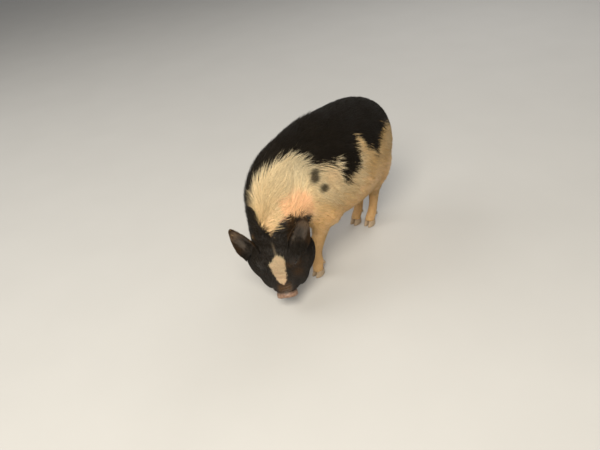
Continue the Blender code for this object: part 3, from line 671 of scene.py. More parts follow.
cut_finer(skin, lambda p: (face_share(p) > 0.045) & (np.abs(to_head(p)[:, 0]) < 0.105))
set_points(skin, relax(skin, points_of(skin), 0.2, 2))
cut_finer(skin, fine_faces)
cut_finer(skin, finest_faces)
set_points(skin, relax(skin, points_of(skin), 0.2 * (face_share(points_of(skin)) > 0.05), 3))
print("skin:", len(skin.data.polygons), "faces for the face")

# %% [markdown]
# An eye is a ball under two lids. The opening between them is the shape where two circles overlap, so the
# distance to its edge is easy to work out, and the lid's thickness, its rounded margin and the creases above
# and below it are all read from that one distance.

# %% Lids
LID_HALF_WIDTH = 0.0112
UPPER_RISE = 0.0066
LOWER_DROP = -0.0054
LID_CREASES = [
    # depth, distance from the opening, width, 1 above or -1 below, height at which it is full
    (0.0013, 0.0052, 0.0011, 1, 0.006),
    (0.0006, 0.0105, 0.0015, 1, 0.008),
    (0.0007, 0.0046, 0.0011, -1, 0.005),
    (0.0006, 0.0085, 0.0014, -1, 0.006),
]


def eye_axes(sign):
    centre = np.array((sign * EYE[0], EYE[1], EYE[2]))
    look = unit(np.array((sign * 0.80, 0.25, 0.55)))
    corner = np.array((sign * -0.35, 0.93, 0.09))
    corner = unit(corner - look * corner.dot(look))
    rise = np.cross(look, corner)
    return centre, look, corner, rise * math.copysign(1, rise[2])


def arc_distance(across, up, half, height):
    """Signed distance to a circle through both corners of the eye that rises to the height."""
    radius = (half**2 + height**2) / (2 * abs(height))
    middle = height - math.copysign(radius, height)
    return np.hypot(across, up - middle) - radius


def gauss(value, width):
    return np.exp(-((value / width) ** 2))


face = to_head(points_of(skin))
for sign in (1, -1):
    centre, look, corner, rise = eye_axes(sign)
    out = face - centre
    across = out @ corner
    up = out @ rise
    depth = out @ look
    away = np.hypot(across, up)
    near = (away < 0.030) & (depth > -0.006) & (face[:, 0] * sign > 0.02)
    edge = np.maximum(*(arc_distance(across, up, LID_HALF_WIDTH, rim) for rim in (UPPER_RISE, LOWER_DROP)))
    thick = 0.0004 + 0.0016 * smooth_step(edge, 0.0, 0.0024)
    lid = np.sqrt(np.maximum((EYE_RADIUS + thick) ** 2 - away**2, 0.0))
    face_side = depth - 0.0012 * gauss(away - 0.0135, 0.0035)
    over = smooth_step(lid - face_side, -0.0025, 0.0025)
    lid = face_side + (lid - face_side) * over
    ball = np.sqrt(np.maximum(EYE_RADIUS**2 - away**2, 0.0)) - 0.0007
    target = np.where(edge < 0, ball - 0.0022 * smooth_step(-edge, 0.0, 0.0012), lid)
    for deep, gap, width, way, full in LID_CREASES:
        target -= deep * gauss(edge - gap, width) * smooth_step(way * up, 0.0, full)
    face += np.where(near, target - depth, 0.0)[:, None] * look
print("lids shaped")

# %% [markdown]
# The snout ends in a disc of gristle with a raised rim, two deep oval nostrils and a shallow groove between
# them. Behind it the skin of the muzzle is pushed into wrinkles that run across it.

# %% Nostrils, disc and wrinkles
DISC_MIDDLE = -0.0315
FINE_WRINKLE = 0.0092  # from one to the next, behind the disc
BROAD_WRINKLE = 0.0215  # and further back


def disc_reach(points):
    """Distance from the disc's middle line as a share of its own outline there."""
    rows = np.array(SNOUT_DISC)
    wide = np.interp(points[:, 1], rows[:3, 1], rows[:3, 3]) - 0.0006
    tall = np.interp(points[:, 1], rows[:3, 1], (rows[:3, 4] + rows[:3, 5]) / 2) - 0.0006
    return np.hypot(points[:, 0] / wide, (points[:, 2] - DISC_MIDDLE) / tall)


reach = disc_reach(face)
end = smooth_step(face[:, 1], HEAD_LENGTH - 0.034, HEAD_LENGTH - 0.024)
turned = 1 - 0.10 * smooth_step(face[:, 1], HEAD_LENGTH - 0.006, HEAD_LENGTH - 0.0005) ** 2
on_snout = (face_share(from_head(face)) > 0) & (reach < 1.8)
pull = (turned / np.maximum(reach, 0.2) - 1) * smooth_step(reach, 0.78, 0.92) * end * on_snout
pull *= 1 - smooth_step(reach, 1.12, 1.34)
front = on_snout * (1 - smooth_step(reach, 0.84, 0.99))
front = front * smooth_step(face[:, 1], HEAD_LENGTH - 0.012, HEAD_LENGTH - 0.005)
face[:, 0] *= 1 + pull
face[:, 2] += (face[:, 2] - DISC_MIDDLE) * pull
face[:, 1] += (HEAD_LENGTH - 0.0014 - face[:, 1]) * front
side = np.abs(face[:, 0])
height = face[:, 2]
on_disc = smooth_step(face[:, 1], HEAD_LENGTH - 0.013, HEAD_LENGTH - 0.006) * on_snout
hole = np.hypot((side - NOSTRIL[0]) / NOSTRIL_HALF[0], (height - NOSTRIL[2]) / NOSTRIL_HALF[1])
push = -0.0125 * (1 - smooth_step(hole, 0.45, 1.0)) + 0.0013 * gauss(hole - 1.22, 0.22)
push += 0.0012 * gauss(reach - 0.90, 0.09) - 0.0012 * gauss(reach - 0.25, 0.5)
push -= 0.0012 * gauss(face[:, 0], 0.0022) * smooth_step(-height, 0.030, 0.050)
face[:, 1] += on_disc * push
round_end = smooth_step(face[:, 1], HEAD_LENGTH - 0.046, HEAD_LENGTH - 0.018) * on_snout
face[:, 1] -= round_end * (4.2 * face[:, 0] ** 2 + 1.8 * (face[:, 2] - DISC_MIDDLE) ** 2)  # a domed pad

back = from_head(face)
set_points(skin, back)
outward = normals_of(skin) @ HEAD_TURN_BACK.T
outward /= np.linalg.norm(outward, axis=1, keepdims=True)
where = np.where(face_share(back) > 0, 1.0, 0.0)
top = smooth_step(outward[:, 2], 0.05, 0.6) * where
bow = face[:, 1] + 6.0 * face[:, 0] ** 2
bridge = smooth_step(face[:, 1], 0.172, 0.192) * (1 - smooth_step(face[:, 1], 0.222, 0.230))
uneven = 0.55 + 0.45 * np.sin(face[:, 1] * 130 + 2.0 * np.sin(face[:, 0] * 60))
waver = 1.3 * np.sin(face[:, 0] * 70)
crossing = 0.00050 * np.sin(bow * 2 * math.pi / FINE_WRINKLE + waver) * bridge * top * uneven
fold = smooth_step(face[:, 1], 0.110, 0.128) * (1 - smooth_step(face[:, 1], 0.165, 0.182))
middle = gauss(face[:, 0], 0.045)
folds = 0.00075 * np.sin(bow * 2 * math.pi / BROAD_WRINKLE + 0.8) * fold
folds *= smooth_step(outward[:, 2], -0.1, 0.5) * where * middle
collar = gauss(face[:, 1] - (HEAD_LENGTH - 0.028), 0.0030) * where
face += outward * (crossing + folds - 0.0012 * collar)[:, None]
set_points(skin, from_head(face))
print("nostrils and wrinkles shaped")

# %% [markdown]
# The line of the mouth runs from a corner below the eye, along the muzzle, under the disc and back. Rays cast
# at the head find where it lies on the skin, and the lips swell beside it.

# %% Lips


def mouth_points():
    tree = tree_of(skin)
    turn = HEAD.to_3x3()
    line = []
    for sign in (1, -1):
        for t in np.linspace(0, 1, 60):
            y = 0.118 + (HEAD_LENGTH - 0.158) * t
            z = -0.060 - 0.014 * t + 0.006 * math.sin(math.pi * t)
            start = HEAD @ Vector((sign * 0.2, y, z))
            hit = tree.ray_cast(start, turn @ Vector((-sign, 0, 0)))[0]
            line.append((hit, t))
    for x in np.linspace(-0.024, 0.024, 40):
        start = HEAD @ Vector((x, HEAD_LENGTH + 0.1, -0.0755))
        line.append((tree.ray_cast(start, turn @ Vector((0, -1, 0)))[0], 1.0))
    return [(point, t) for point, t in line if point is not None]


bpy.context.view_layer.update()
mouth = mouth_points()
line = kdtree.KDTree(len(mouth))
for i, (point, t) in enumerate(mouth):
    line.insert(point, i)
line.balance()
flesh = points_of(skin)
outward = normals_of(skin)
ahead = face_share(flesh)
move = np.zeros(len(flesh))
for i in np.flatnonzero((ahead > 0.09) & (face[:, 2] < -0.03)):
    _, which, gap = line.find(Vector(flesh[i]))
    if gap < 0.012:
        strength = 0.35 + 0.65 * min(mouth[which][1] * 3, 1)
        move[i] = strength * (0.0010 * math.exp(-(((gap - 0.0042) / 0.0018) ** 2)))
        move[i] -= strength * 0.0032 * math.exp(-((gap / 0.0013) ** 2))
flesh = flesh + outward * move[:, None]
set_points(skin, flesh)
print("mouth line points:", len(mouth))

# %% [markdown]
# ## Her markings
#
# She is black over the back and the rump, with a lobe that hangs down the flank behind the shoulder, black
# down the far side of the neck, and has a black head with a pale blaze. The shoulder, flank, belly and legs
# are cream over pink skin, with smoky spots on the shoulder. The patches are described by how far down each
# side the black reaches at each place along her back, as an angle round the body. The same rule is read by
# the skin and by each hair, so they always agree. Ahead of the left foreleg the hair is so short that a pink
# patch of skin shows, and the black of the face has a brown tinge in a few places.

# %% Where she is black


def body_angle(points):
    """Degrees round the body from the spine, positive down her left side."""
    bend = np.clip((-0.20 - points[:, 1]) / 0.20, 0, 1) ** 2
    return np.degrees(np.arctan2(points[:, 0] - OCCIPUT.x * bend, points[:, 2] - 0.41 + 0.075 * bend))


LEFT_EDGE = [
    # along the body, degrees down the left side
    (-0.430, -23),
    (-0.391, -29),
    (-0.352, -30),
    (-0.327, -27),
    (-0.313, -14),
    (-0.293, -2),
    (-0.262, 3),
    (-0.246, 13),
    (-0.238, 34),
    (-0.213, 43),
    (-0.146, 49),
    (-0.130, 52),
    (-0.100, 50),
    (-0.093, 56),
    (-0.090, 79),
    (-0.082, 84),
    (-0.066, 81),
    (-0.050, 75),
    (-0.012, 75),
    (0.002, 67),
    (0.006, 55),
    (0.013, 49),
    (0.024, 42),
    (0.040, 40),
    (0.050, 51),
    (0.058, 61),
    (0.098, 62),
    (0.108, 75),
    (0.118, 72),
    (0.143, 66),
    (0.165, 59),
    (0.212, 50),
    (0.300, 50),
    (0.360, 58),
]
RIGHT_EDGE = [
    (-0.430, -100),
    (-0.340, -112),
    (-0.260, -96),
    (-0.200, -72),
    (-0.150, -66),
    (-0.110, -84),
    (-0.040, -92),
    (0.020, -70),
    (0.080, -62),
    (0.130, -80),
    (0.200, -86),
    (0.260, -62),
    (0.360, -58),
]
HEAD_EDGE = [
    # across the head, how far back the black reaches
    (-0.120, -0.300),
    (-0.046, -0.260),
    (-0.039, -0.160),
    (-0.035, -0.110),
    (-0.032, -0.070),
    (-0.008, -0.042),
    (0.004, -0.014),
    (0.022, -0.038),
    (0.041, -0.057),
    (0.062, -0.071),
    (0.086, -0.073),
    (0.105, -0.066),
    (0.127, -0.063),
    (0.140, -0.053),
]
BLAZE = [
    # forward along the head, the pale blaze's right and left edge
    (0.040, 0.030, -0.020),
    (0.060, 0.010, 0.008),
    (0.068, -0.002, 0.018),
    (0.080, -0.011, 0.029),
    (0.094, -0.026, 0.031),
    (0.110, -0.026, 0.029),
    (0.146, -0.024, 0.019),
    (0.174, -0.019, 0.015),
    (0.183, -0.010, 0.006),
    (0.210, 0.030, -0.030),
]
DEGREE = 0.0033  # metres along the skin for a degree round the body
TAIL_FROM = 0.352  # all behind this is tail


def wobble(points, size, seed):
    """Smooth noise between about -1 and 1, with features of the size given in metres."""
    rng = np.random.default_rng(seed)
    total = np.zeros(len(points))
    for octave in (1.0, 0.55, 0.3):
        for _ in range(5):
            way = rng.normal(size=3)
            way *= 2 * math.pi / (size * octave * np.linalg.norm(way))
            total += octave * np.sin(points @ way + rng.uniform(0, 6.3)) / 3.2
    return total


def along_table(table, at, column=1):
    rows = np.array(table)
    return np.interp(at, rows[:, 0], rows[:, column])


def ear_place(points):
    """Along an ear from root to tip, and sideways and up from its middle line, for the nearer ear."""
    at = to_head(points)
    best = np.full((len(points), 3), (-1.0, 1.0, 1.0))
    for sign in (1, -1):
        root, length, cup, across = ear_axes(sign)
        away = at - np.array(root)
        run = away @ np.array(length) / EAR_LENGTH
        own = np.stack([run, np.abs(away @ np.array(across)), away @ np.array(cup)], axis=1)
        best = np.where((at[:, 0] * sign > 0.06)[:, None], own, best)
    return best


def ear_share(points):
    run, wide, lift = ear_place(points).T
    near = (wide < 0.056) & (lift > -0.022) & (lift < 0.050) & (run < 1.2) & (points[:, 1] < -0.25)
    return np.where(near, smooth_step(run, 0.08, 0.25), 0.0)


def black_depth(points):
    """Metres inside the nearest edge of a black patch, negative outside."""
    angle = body_angle(points)
    y = points[:, 1]
    forward = 0.0006 * np.clip(angle - 50, 0, 60) * (y > -0.2)  # the lobes hang a little forward
    left = along_table(LEFT_EDGE, y + forward) - angle
    right = angle - along_table(RIGHT_EDGE, y)
    depth = np.minimum(left, right) * DEGREE
    at = to_head(points)
    on_head = np.minimum(at[:, 1] - along_table(HEAD_EDGE, at[:, 0]), 0.153 - np.abs(at[:, 0]))
    on_head = np.minimum(on_head, at[:, 2] + 0.150)
    on_head = np.where((y < -0.255) & (points[:, 2] > 0.02), on_head, -0.1)
    depth = np.maximum(depth, on_head)
    blaze = at[:, 0] - along_table(BLAZE, at[:, 1])
    blaze = np.minimum(blaze, along_table(BLAZE, at[:, 1], 2) - at[:, 0])
    blaze = np.where((at[:, 2] > -0.03) & (on_head > 0), blaze, -0.1)
    depth = np.minimum(depth, -blaze)
    all_black = (ear_share(points) > 0.5) | (y > TAIL_FROM)
    return np.where(all_black, 0.02, depth)


SPOTS = [
    ((0.133, -0.216, 0.519), 0.0195),
    ((0.137, -0.224, 0.503), 0.0200),
    ((0.161, -0.205, 0.459), 0.0180),
]
HALO = (0.090, -0.243, 0.538)  # the middle of a wide, faint smoky place above them
HALO_RADIUS = 0.058


def smoky(points):
    """Strength of the smoky spots on the left shoulder."""
    out = np.zeros(len(points))
    for centre, radius in SPOTS:
        away = np.linalg.norm(points - np.array(centre), axis=1) + 0.0025 * wobble(points, 0.02, 5)
        out = np.maximum(out, 1 - smooth_step(away, radius * 0.62, radius * 1.25))
    around = np.linalg.norm(points - np.array(HALO), axis=1)
    return np.maximum(out, 0.26 * gauss(around, HALO_RADIUS))


def blackness(points, soft, jitter=0.0):
    """How black each point is. The jitter, in metres, mixes single hairs across an edge."""
    at = to_head(points)
    on_face = (face_share(points) > 0) & (at[:, 2] > -0.03)
    ragged = np.where(on_face, 0.0018, 0.0045) * wobble(points, 0.045, 3)
    ragged += 0.0020 * wobble(points, 0.016, 4) + 0.0012 * wobble(points, 0.006, 6) * on_face
    depth = black_depth(points) + ragged + jitter * np.where(on_face, 0.25, 1.0)
    streak = 0.10 * gauss(at[:, 0] - 0.004, 0.004) * smooth_step(at[:, 1], 0.008, 0.022)
    streak *= (1 - smooth_step(at[:, 1], 0.062, 0.072)) * (at[:, 2] > 0)
    # On the face the black share never drops below 0.36, which greys the pale blaze: painted shade for a
    # blaze that faces forward and down.
    return np.maximum(smooth_step(depth, -soft, soft) * (1 - streak), 0.36 * on_face)


def bare_patch(points):
    """The left shoulder ahead of the leg, where the hair is short and sparse over pink skin."""
    angle = body_angle(points)
    y = points[:, 1]
    top = 27 + 500 * (y + 0.343)
    front = y + 0.362 + 0.001 * np.clip(angle - 27, 0, 30)
    inside = np.minimum.reduce([(angle - top) * 0.0017, (106 - angle) * DEGREE, front, -0.246 - y])
    behind = 0.45 * gauss(y + 0.148, 0.030) * gauss(angle - 64, 14)
    return np.clip(smooth_step(inside + 0.006 * wobble(points, 0.04, 8), -0.012, 0.016) + behind, 0, 1)


def bare_ahead(points):
    """The same, and also just ahead of it, so that no long hair lies over the bare place."""
    along = lie_at(points)
    steps = (0.0, 0.025, 0.05, 0.075)
    return np.maximum.reduce([bare_patch(points + along * step) for step in steps])


def pinkness(points):
    """Where pink skin shows through: the shoulder, and a little on the flank and the belly."""
    side = smooth_step(np.abs(body_angle(points)), 75, 120)
    return np.clip(0.30 * side + bare_patch(points), 0, 1)


def tan_and_bounce_light(points):
    """Cream on the neck and the face, going to tan on the thigh, low on the body and on the legs: partly the
    hair's own tan, partly painted warm light bounced up from below.
    """
    low = 1 - smooth_step(points[:, 2], 0.28, 0.56)
    behind = 0.85 * smooth_step(points[:, 1], -0.12, 0.08)
    warm = np.maximum(low, behind) + 0.12 * wobble(points, 0.12, 7)
    return np.clip(warm, 0, 1) * (1 - 0.95 * smooth_step(face_share(points), -0.02, 0.03))


BROWN_UNDER_EYE = [
    # across and along the head, strength, width
    (0.042, 0.112, 0.50, 0.012),
    (0.070, 0.110, 0.45, 0.014),
    (0.062, 0.150, 0.50, 0.018),
]


def rust(points):
    """A brown tinge on the bridge of the snout, below the left eye, and on the rims of the ears."""
    at = to_head(points)
    bridge = gauss(at[:, 1] - 0.205, 0.016) * smooth_step(at[:, 2], -0.06, -0.01)
    bridge *= 1 - smooth_step(np.abs(at[:, 0]), 0.020, 0.034)
    under_eye = np.zeros(len(points))
    for x, y, strength, width in BROWN_UNDER_EYE:
        under_eye += strength * gauss(np.hypot(at[:, 0] - x, at[:, 1] - y), width) * (at[:, 2] > -0.06)
    run, wide, lift = ear_place(points).T
    ears = (0.34 * smooth_step(wide, 0.020, 0.036) + 0.45 * smooth_step(run, 0.50, 0.95)) * ear_share(points)
    return np.clip((bridge + under_eye + ears) * (face_share(points) > -0.2), 0, 1)


flesh = points_of(skin)
print("black share of the skin:", round(float((black_depth(flesh) > 0).mean()), 2))

# %% Write the markings on the skin


def set_mark(obj, name, values):
    layer = obj.data.attributes.new(name, "FLOAT", "POINT")
    layer.data.foreach_set("value", np.ascontiguousarray(values, np.float32))


def disc_share(points):
    """The bare pad of the snout and the lips in front."""
    at = to_head(points)
    ahead = smooth_step(at[:, 1], HEAD_LENGTH - 0.032, HEAD_LENGTH - 0.018)
    return ahead * (face_share(points) > 0)


def cup_share(points):
    """The hollow of each ear."""
    at = to_head(points)
    out = np.zeros(len(points))
    for sign in (1, -1):
        root, length, cup, across = ear_axes(sign)
        away = at - np.array(root)
        run = away @ np.array(length) / EAR_LENGTH
        lift = away @ np.array(cup)
        wide = np.abs(away @ np.array(across))
        inside = smooth_step(run, 0.0, 0.15) * (1 - smooth_step(run, 0.85, 1.0))
        inside *= 1 - smooth_step(wide, 0.018, 0.034)
        out = np.maximum(out, inside * smooth_step(lift, -0.006, 0.0))
    return out * (np.abs(at[:, 0]) > 0.06)


set_mark(skin, "dark", blackness(flesh, 0.006))
rules = {"pink": pinkness, "warm": tan_and_bounce_light, "rust": rust, "disc": disc_share, "cup": cup_share}
for name, rule in rules.items():
    set_mark(skin, name, rule(flesh))
# The inner mark is painted shade: it darkens the skin deep in the nostrils and where the lids close on the
# eyeball.
side = (np.abs(face[:, 0]) - NOSTRIL[0]) / NOSTRIL_HALF[0]
holes = np.hypot(side, (face[:, 2] - NOSTRIL[2]) / NOSTRIL_HALF[1])
inner = (1 - smooth_step(holes, 0.5, 0.95)) * (face[:, 1] < HEAD_LENGTH - 0.002)
inner *= face[:, 1] > HEAD_LENGTH - 0.030
eye_gap = 1 - smooth_step(from_spot(flesh, EYE), EYE_RADIUS - 0.0005, EYE_RADIUS + 0.0008)
set_mark(skin, "inner", np.clip(inner + eye_gap, 0, 1))
print("marks:", [layer.name for layer in skin.data.attributes if layer.data_type == "FLOAT"])

# %% [markdown]
# ## How the coat lies
#
# Hair on a pig grows back from the snout over the forehead, back along the neck and the body, down the rump
# and the legs, and out along the ears. Each of these is a simple direction, and a soft mask chooses between
# them, so the coat turns smoothly from one to the next.

# %% The lie of the hair


def lie_at(points):
    """Unit vectors, tail-ward on the body and away from the snout on the head."""
    x, y, z = points.T
    bend = np.clip((-0.20 - y) / 0.20, 0, 1)
    side = (x - OCCIPUT.x * bend**2) / 0.17
    way = np.stack([0.22 * side - 0.20 * bend, np.ones(len(points)), -0.12 - 0.55 * side**2], axis=1)
    rump = smooth_step(y, 0.22, 0.36)[:, None]
    way = way * (1 - rump) + np.stack([0.3 * side, 0.25 + 0 * x, -1 + 0 * x], axis=1) * rump
    low = smooth_step(-z, -0.30, -0.20)[:, None]
    way = way * (1 - low) + np.array((0.0, 0.35, -1.0)) * low
    under = (smooth_step(0.29 - z, 0.0, 0.05) * smooth_step(z, 0.19, 0.22) * (np.abs(x) < 0.06))[:, None]
    way = way * (1 - under) + np.array((0.0, 1.0, 0.0)) * under
    at = to_head(points)
    ahead = smooth_step(face_share(points), -0.045, 0.03)[:, None]
    spread = np.stack([at[:, 0] * 2.2, -0.9 + 0 * x, 0.10 - 0.2 * np.abs(at[:, 0])], axis=1)
    way = way * (1 - ahead) + (spread @ HEAD_TURN.T) * ahead
    for sign in (1, -1):
        root, length, cup, across = ear_axes(sign)
        run = (at - np.array(root)) @ np.array(length) / EAR_LENGTH
        reach = smooth_step(run, 0.15, 0.35) * smooth_step(at[:, 0] * sign, 0.075, 0.10) * (y < -0.2)
        reach *= smooth_step(at[:, 2], -0.01, 0.02)
        line_out = HEAD_TURN @ np.array(length)
        way = way * (1 - reach[:, None]) + line_out * reach[:, None]
    hang = smooth_step(y, 0.350, 0.358)[:, None]
    way = way * (1 - hang) + np.array((0.0, -0.05, -1.0)) * hang
    return way / np.linalg.norm(way, axis=1, keepdims=True)


# %% [markdown]
# Loose particle hair would be lost when the model is exported, so each tuft is a solid: a thin, three-sided
# spike that starts just under the skin, bends along the lie of the coat and ends in a point. They are made
# with arrays, thousands at a time. Neighbours lean toward a shared line, as real bristles stick in wisps.

# %% The skin as something to grow hair on
bpy.context.view_layer.update()
skin.data.calc_loop_triangles()
corner_of = np.empty(len(skin.data.loop_triangles) * 3, np.int32)
skin.data.loop_triangles.foreach_get("vertices", corner_of)
corner_of = corner_of.reshape(-1, 3)
loop_of = np.empty(len(corner_of) * 3, np.int32)
skin.data.loop_triangles.foreach_get("loops", loop_of)
loop_of = loop_of.reshape(-1, 3)
skin_map = np.empty(len(skin.data.loops) * 2, np.float32)
skin.data.uv_layers[0].data.foreach_get("uv", skin_map)
skin_map = skin_map.reshape(-1, 2)
outward = normals_of(skin)
corners = flesh[corner_of]
areas = np.linalg.norm(np.cross(corners[:, 1] - corners[:, 0], corners[:, 2] - corners[:, 0]), axis=1) / 2
centres = corners.mean(axis=1)
facing = outward[corner_of].mean(axis=1)
hide = tree_of(skin)
print("skin area:", round(float(areas.sum()), 2), "m2 in", len(areas), "triangles")


def scattered(per_area, seed):
    """Evenly scattered roots, with the number for each square metre given for every triangle."""
    rng = np.random.default_rng(seed)
    cells = np.floor(centres / 0.02)
    order = np.lexsort((cells[:, 2], cells[:, 0], cells[:, 1]))
    heap = np.cumsum((areas * per_area)[order])
    count = int(heap[-1])
    drawn = (np.arange(count) + rng.random(count)) * heap[-1] / count
    chosen = order[np.minimum(np.searchsorted(heap, drawn), len(heap) - 1)]
    one = np.sqrt(rng.random(count))
    two = rng.random(count)
    share = np.stack([1 - one, one * (1 - two), one * two], axis=1)[:, :, None]
    roots = (flesh[corner_of[chosen]] * share).sum(axis=1)
    out = (outward[corner_of[chosen]] * share).sum(axis=1)
    out /= np.linalg.norm(out, axis=1, keepdims=True)
    spots = (skin_map[loop_of[chosen]] * share).sum(axis=1)
    return roots, out, spots


# %% Tufts from arrays
MOST_TRIANGLES = 190000
PATCH = 0.003  # size of a tuft's own patch on the map
WISP_SIZE = 9  # about this many tufts lean together
# a tuft takes its colour from the skin at this share of its length
READ_MANE, READ_COAT, READ_POLL = 0.58, 0.40, 0.08
SMOKE_ON_HAIR = 0.88
coat_pieces = []


def tuft_pattern(rings):
    """Triangles of one tuft, and the place of each corner on its patch."""
    faces = [(0, 2, 1)]
    places = [((0.0, 0.0), (0.66, 0.0), (0.33, 0.0))]
    for i in range(rings - 1):
        for k in range(3):
            a, b = i * 3 + k, i * 3 + (k + 1) % 3
            faces += [(a, b, b + 3), (a, b + 3, a + 3)]
            low, high = i / rings, (i + 1) / rings
            left, right = k / 3, (k + 1) / 3
            places += [((left, low), (right, low), (right, high)), ((left, low), (right, high), (left, high))]
    tip = rings * 3
    for k in range(3):
        faces.append((tip - 3 + k, tip - 3 + (k + 1) % 3, tip))
        low = (rings - 1) / rings
        places.append(((k / 3, low), ((k + 1) / 3, low), ((k + 0.5) / 3, 1.0)))
    return np.array(faces), np.array(places)


def combed(roots, out, length, lift, rings, rng, wisp, stray, curl):
    """Each tuft's middle line, draped over the skin: places, normals and directions for every ring."""
    count = len(roots)
    guides = kdtree.KDTree(count // WISP_SIZE + 1)
    picked = np.arange(0, count, WISP_SIZE)
    for n, i in enumerate(picked):
        guides.insert(Vector(roots[i]), n)
    guides.balance()
    shared = np.array([roots[picked[guides.find(Vector(p))[1]]] for p in roots])
    pull = (shared - roots) * wisp / rings
    across_bias = rng.normal(0, stray, count)
    sink = np.minimum(0.0010, 0.30 * lift)
    way = lie_at(roots)
    sweep = 0.22 * wobble(roots, 0.09, 21) + 0.12 * wobble(roots, 0.03, 22)
    at, normal = roots.copy(), out.copy()
    lines = []
    for i in range(rings + 1):
        t = i / rings
        if i:
            found = [hide.find_nearest(Vector(p))[:2] for p in at]
            at = np.array([f[0] for f in found])
            normal = normal * 0.35 + np.array([f[1] for f in found]) * 0.65
            normal /= np.linalg.norm(normal, axis=1, keepdims=True)
        way = lie_at(at)
        way -= normal * (way * normal).sum(axis=1)[:, None]
        way /= np.maximum(np.linalg.norm(way, axis=1, keepdims=True), 1e-6)
        across = np.cross(way, normal)
        lean = across_bias + sweep + curl * math.sin(3.0 * t)
        step = way + across * lean[:, None]
        step /= np.linalg.norm(step, axis=1, keepdims=True)
        height = (sink + lift) * t**0.75 - sink
        lines.append((at + normal * height[:, None], normal, step))
        at = at + step * (length / rings)[:, None] + pull
    return lines


def tufts(name, slot, roots, out, spots, length, width, lift, rings, seed, wisp, stray, curl):
    """A piece of coat. Length, width and lift are arrays, one value for each tuft."""
    rng = np.random.default_rng(seed)
    count = len(roots)
    lines = combed(roots, out, length, lift, rings, rng, wisp, stray, curl)
    twist = rng.uniform(-0.6, 0.6, count)
    taper = np.interp(np.arange(rings) / rings, (0, 0.25, 0.6, 1.0), (0.70, 1.0, 0.72, 0.1))
    points = np.empty((count, rings * 3 + 1, 3))
    for i in range(rings):
        place, normal, step = lines[i]
        across = np.cross(step, normal)
        flat = across * np.cos(twist)[:, None] + normal * np.sin(twist)[:, None]
        rise = np.cross(flat, step)
        half = (width * taper[i] / 2)[:, None]
        points[:, i * 3] = place + flat * half
        points[:, i * 3 + 1] = place - flat * half
        points[:, i * 3 + 2] = place + np.sign((rise * normal).sum(axis=1))[:, None] * rise * half * 0.75
    points[:, -1] = lines[rings][0]
    read = READ_MANE if name == "mane" else READ_COAT
    read = read + (READ_POLL - read) * smooth_step(face_share(roots), -0.14, -0.05)
    middle = roots + lie_at(roots) * (length * read)[:, None]
    jitter = rng.normal(0, 0.010, count)
    marks = {"dark": blackness(middle, 0.0012, jitter), "warm": tan_and_bounce_light(roots), "rust": rust(roots)}
    marks["pink"] = bare_patch(middle)
    marks["tone"] = rng.random(count)
    fade = np.append(np.repeat(np.arange(rings) / rings, 3), 1.0)
    faces, places = tuft_pattern(rings)
    per_piece = MOST_TRIANGLES // len(faces)
    for part, start in enumerate(range(0, count, per_piece)):
        chunk = slice(start, min(start + per_piece, count))
        here = points[chunk]
        number = len(here)
        own = np.arange(number)[:, None, None] * here.shape[1] + faces[None]
        mesh = bpy.data.meshes.new(f"{name}_{part + 1}")
        mesh.vertices.add(number * here.shape[1])
        mesh.vertices.foreach_set("co", here.astype(np.float32).ravel())
        mesh.loops.add(own.size)
        mesh.loops.foreach_set("vertex_index", own.astype(np.int32).ravel())
        mesh.polygons.add(own.size // 3)
        mesh.polygons.foreach_set("loop_start", np.arange(0, own.size, 3, dtype=np.int32))
        mesh.update(calc_edges=True)
        layer = mesh.uv_layers.new(name="OFBake")
        patch = spots[chunk][:, None, None, :] + (places[None] - 0.5) * PATCH
        layer.data.foreach_set("uv", patch.astype(np.float32).ravel())
        obj = bpy.data.objects.new(mesh.name, mesh)
        bpy.context.scene.collection.objects.link(obj)
        for mark, values in marks.items():
            values = np.repeat(values[chunk], here.shape[1])
            if mark == "dark" and name in ("mane", "coat"):
                values = np.maximum(values, SMOKE_ON_HAIR * smoky(here.reshape(-1, 3)))
            set_mark(obj, mark, values)
        set_mark(obj, "tip", np.tile(fade, number))
        coat_pieces.append((obj, slot))
    print(f"{name}: {count} tufts, {count * len(faces)} triangles")


def grow(name, slot, density, seed, sizes, rings, wisp, stray, curl=0.0):
    """One kind of hair. Its length, lift and width each come with a least and a greatest share."""
    roots, out, spots = scattered(density, seed)
    rng = np.random.default_rng(seed + 1)
    length, lift, width = [
        size * rng.uniform(least, most, len(roots)) for size, least, most in sizes(roots)
    ]
    tufts(name, slot, roots, out, spots, length, width, lift, rings, seed + 2, wisp, stray, curl)


# %% [markdown]
# ## The coat
#
# Her coat is not one length. A mane of long, soft hair covers the neck and the shoulders. The back and the
# rump have coarse bristles that lie close, the flank and the belly a thin, short cover that lets the pink
# skin show, and the legs, the face and the ears a short, close one. Each kind is given as the number of
# tufts for a square metre and as three sizes: length, height of the tip above the skin, and width.

# %% Where each kind of hair grows
BETWEEN_LIDS = (0.0615, 0.101, 0.0185)  # the middle of the opening, in head space
ahead = face_share(centres)
at = to_head(centres)
angle = np.abs(body_angle(centres))
dark = black_depth(centres) > 0
eye_gap = from_spot(centres, BETWEEN_LIDS)
no_hair = (ahead > HEAD_LENGTH - 0.026) | (eye_gap < 0.0125) | (centres[:, 2] < 0.024)
hollow = cup_share(centres) > 0.3
on_ear = ear_share(centres) > 0.35
on_tail = centres[:, 1] > TAIL_FROM
on_leg = (centres[:, 2] < 0.215) & ~(ahead > -0.05)
on_face = (ahead > 0.0) & ~on_ear
on_body = ~(on_leg | on_face | on_ear | on_tail | no_hair)
mane_share = smooth_step(-centres[:, 1], -0.01, 0.10) * (1 - smooth_step(angle, 70, 115)) * (ahead < 0.03)
on_teat = on_body & (facing[:, 2] < 0.3) & (centres[:, 2] < 0.222)
covers = areas[on_body].sum(), (areas * mane_share).sum()
print("areas, body and mane:", [round(float(cover), 2) for cover in covers])

# %% Mane


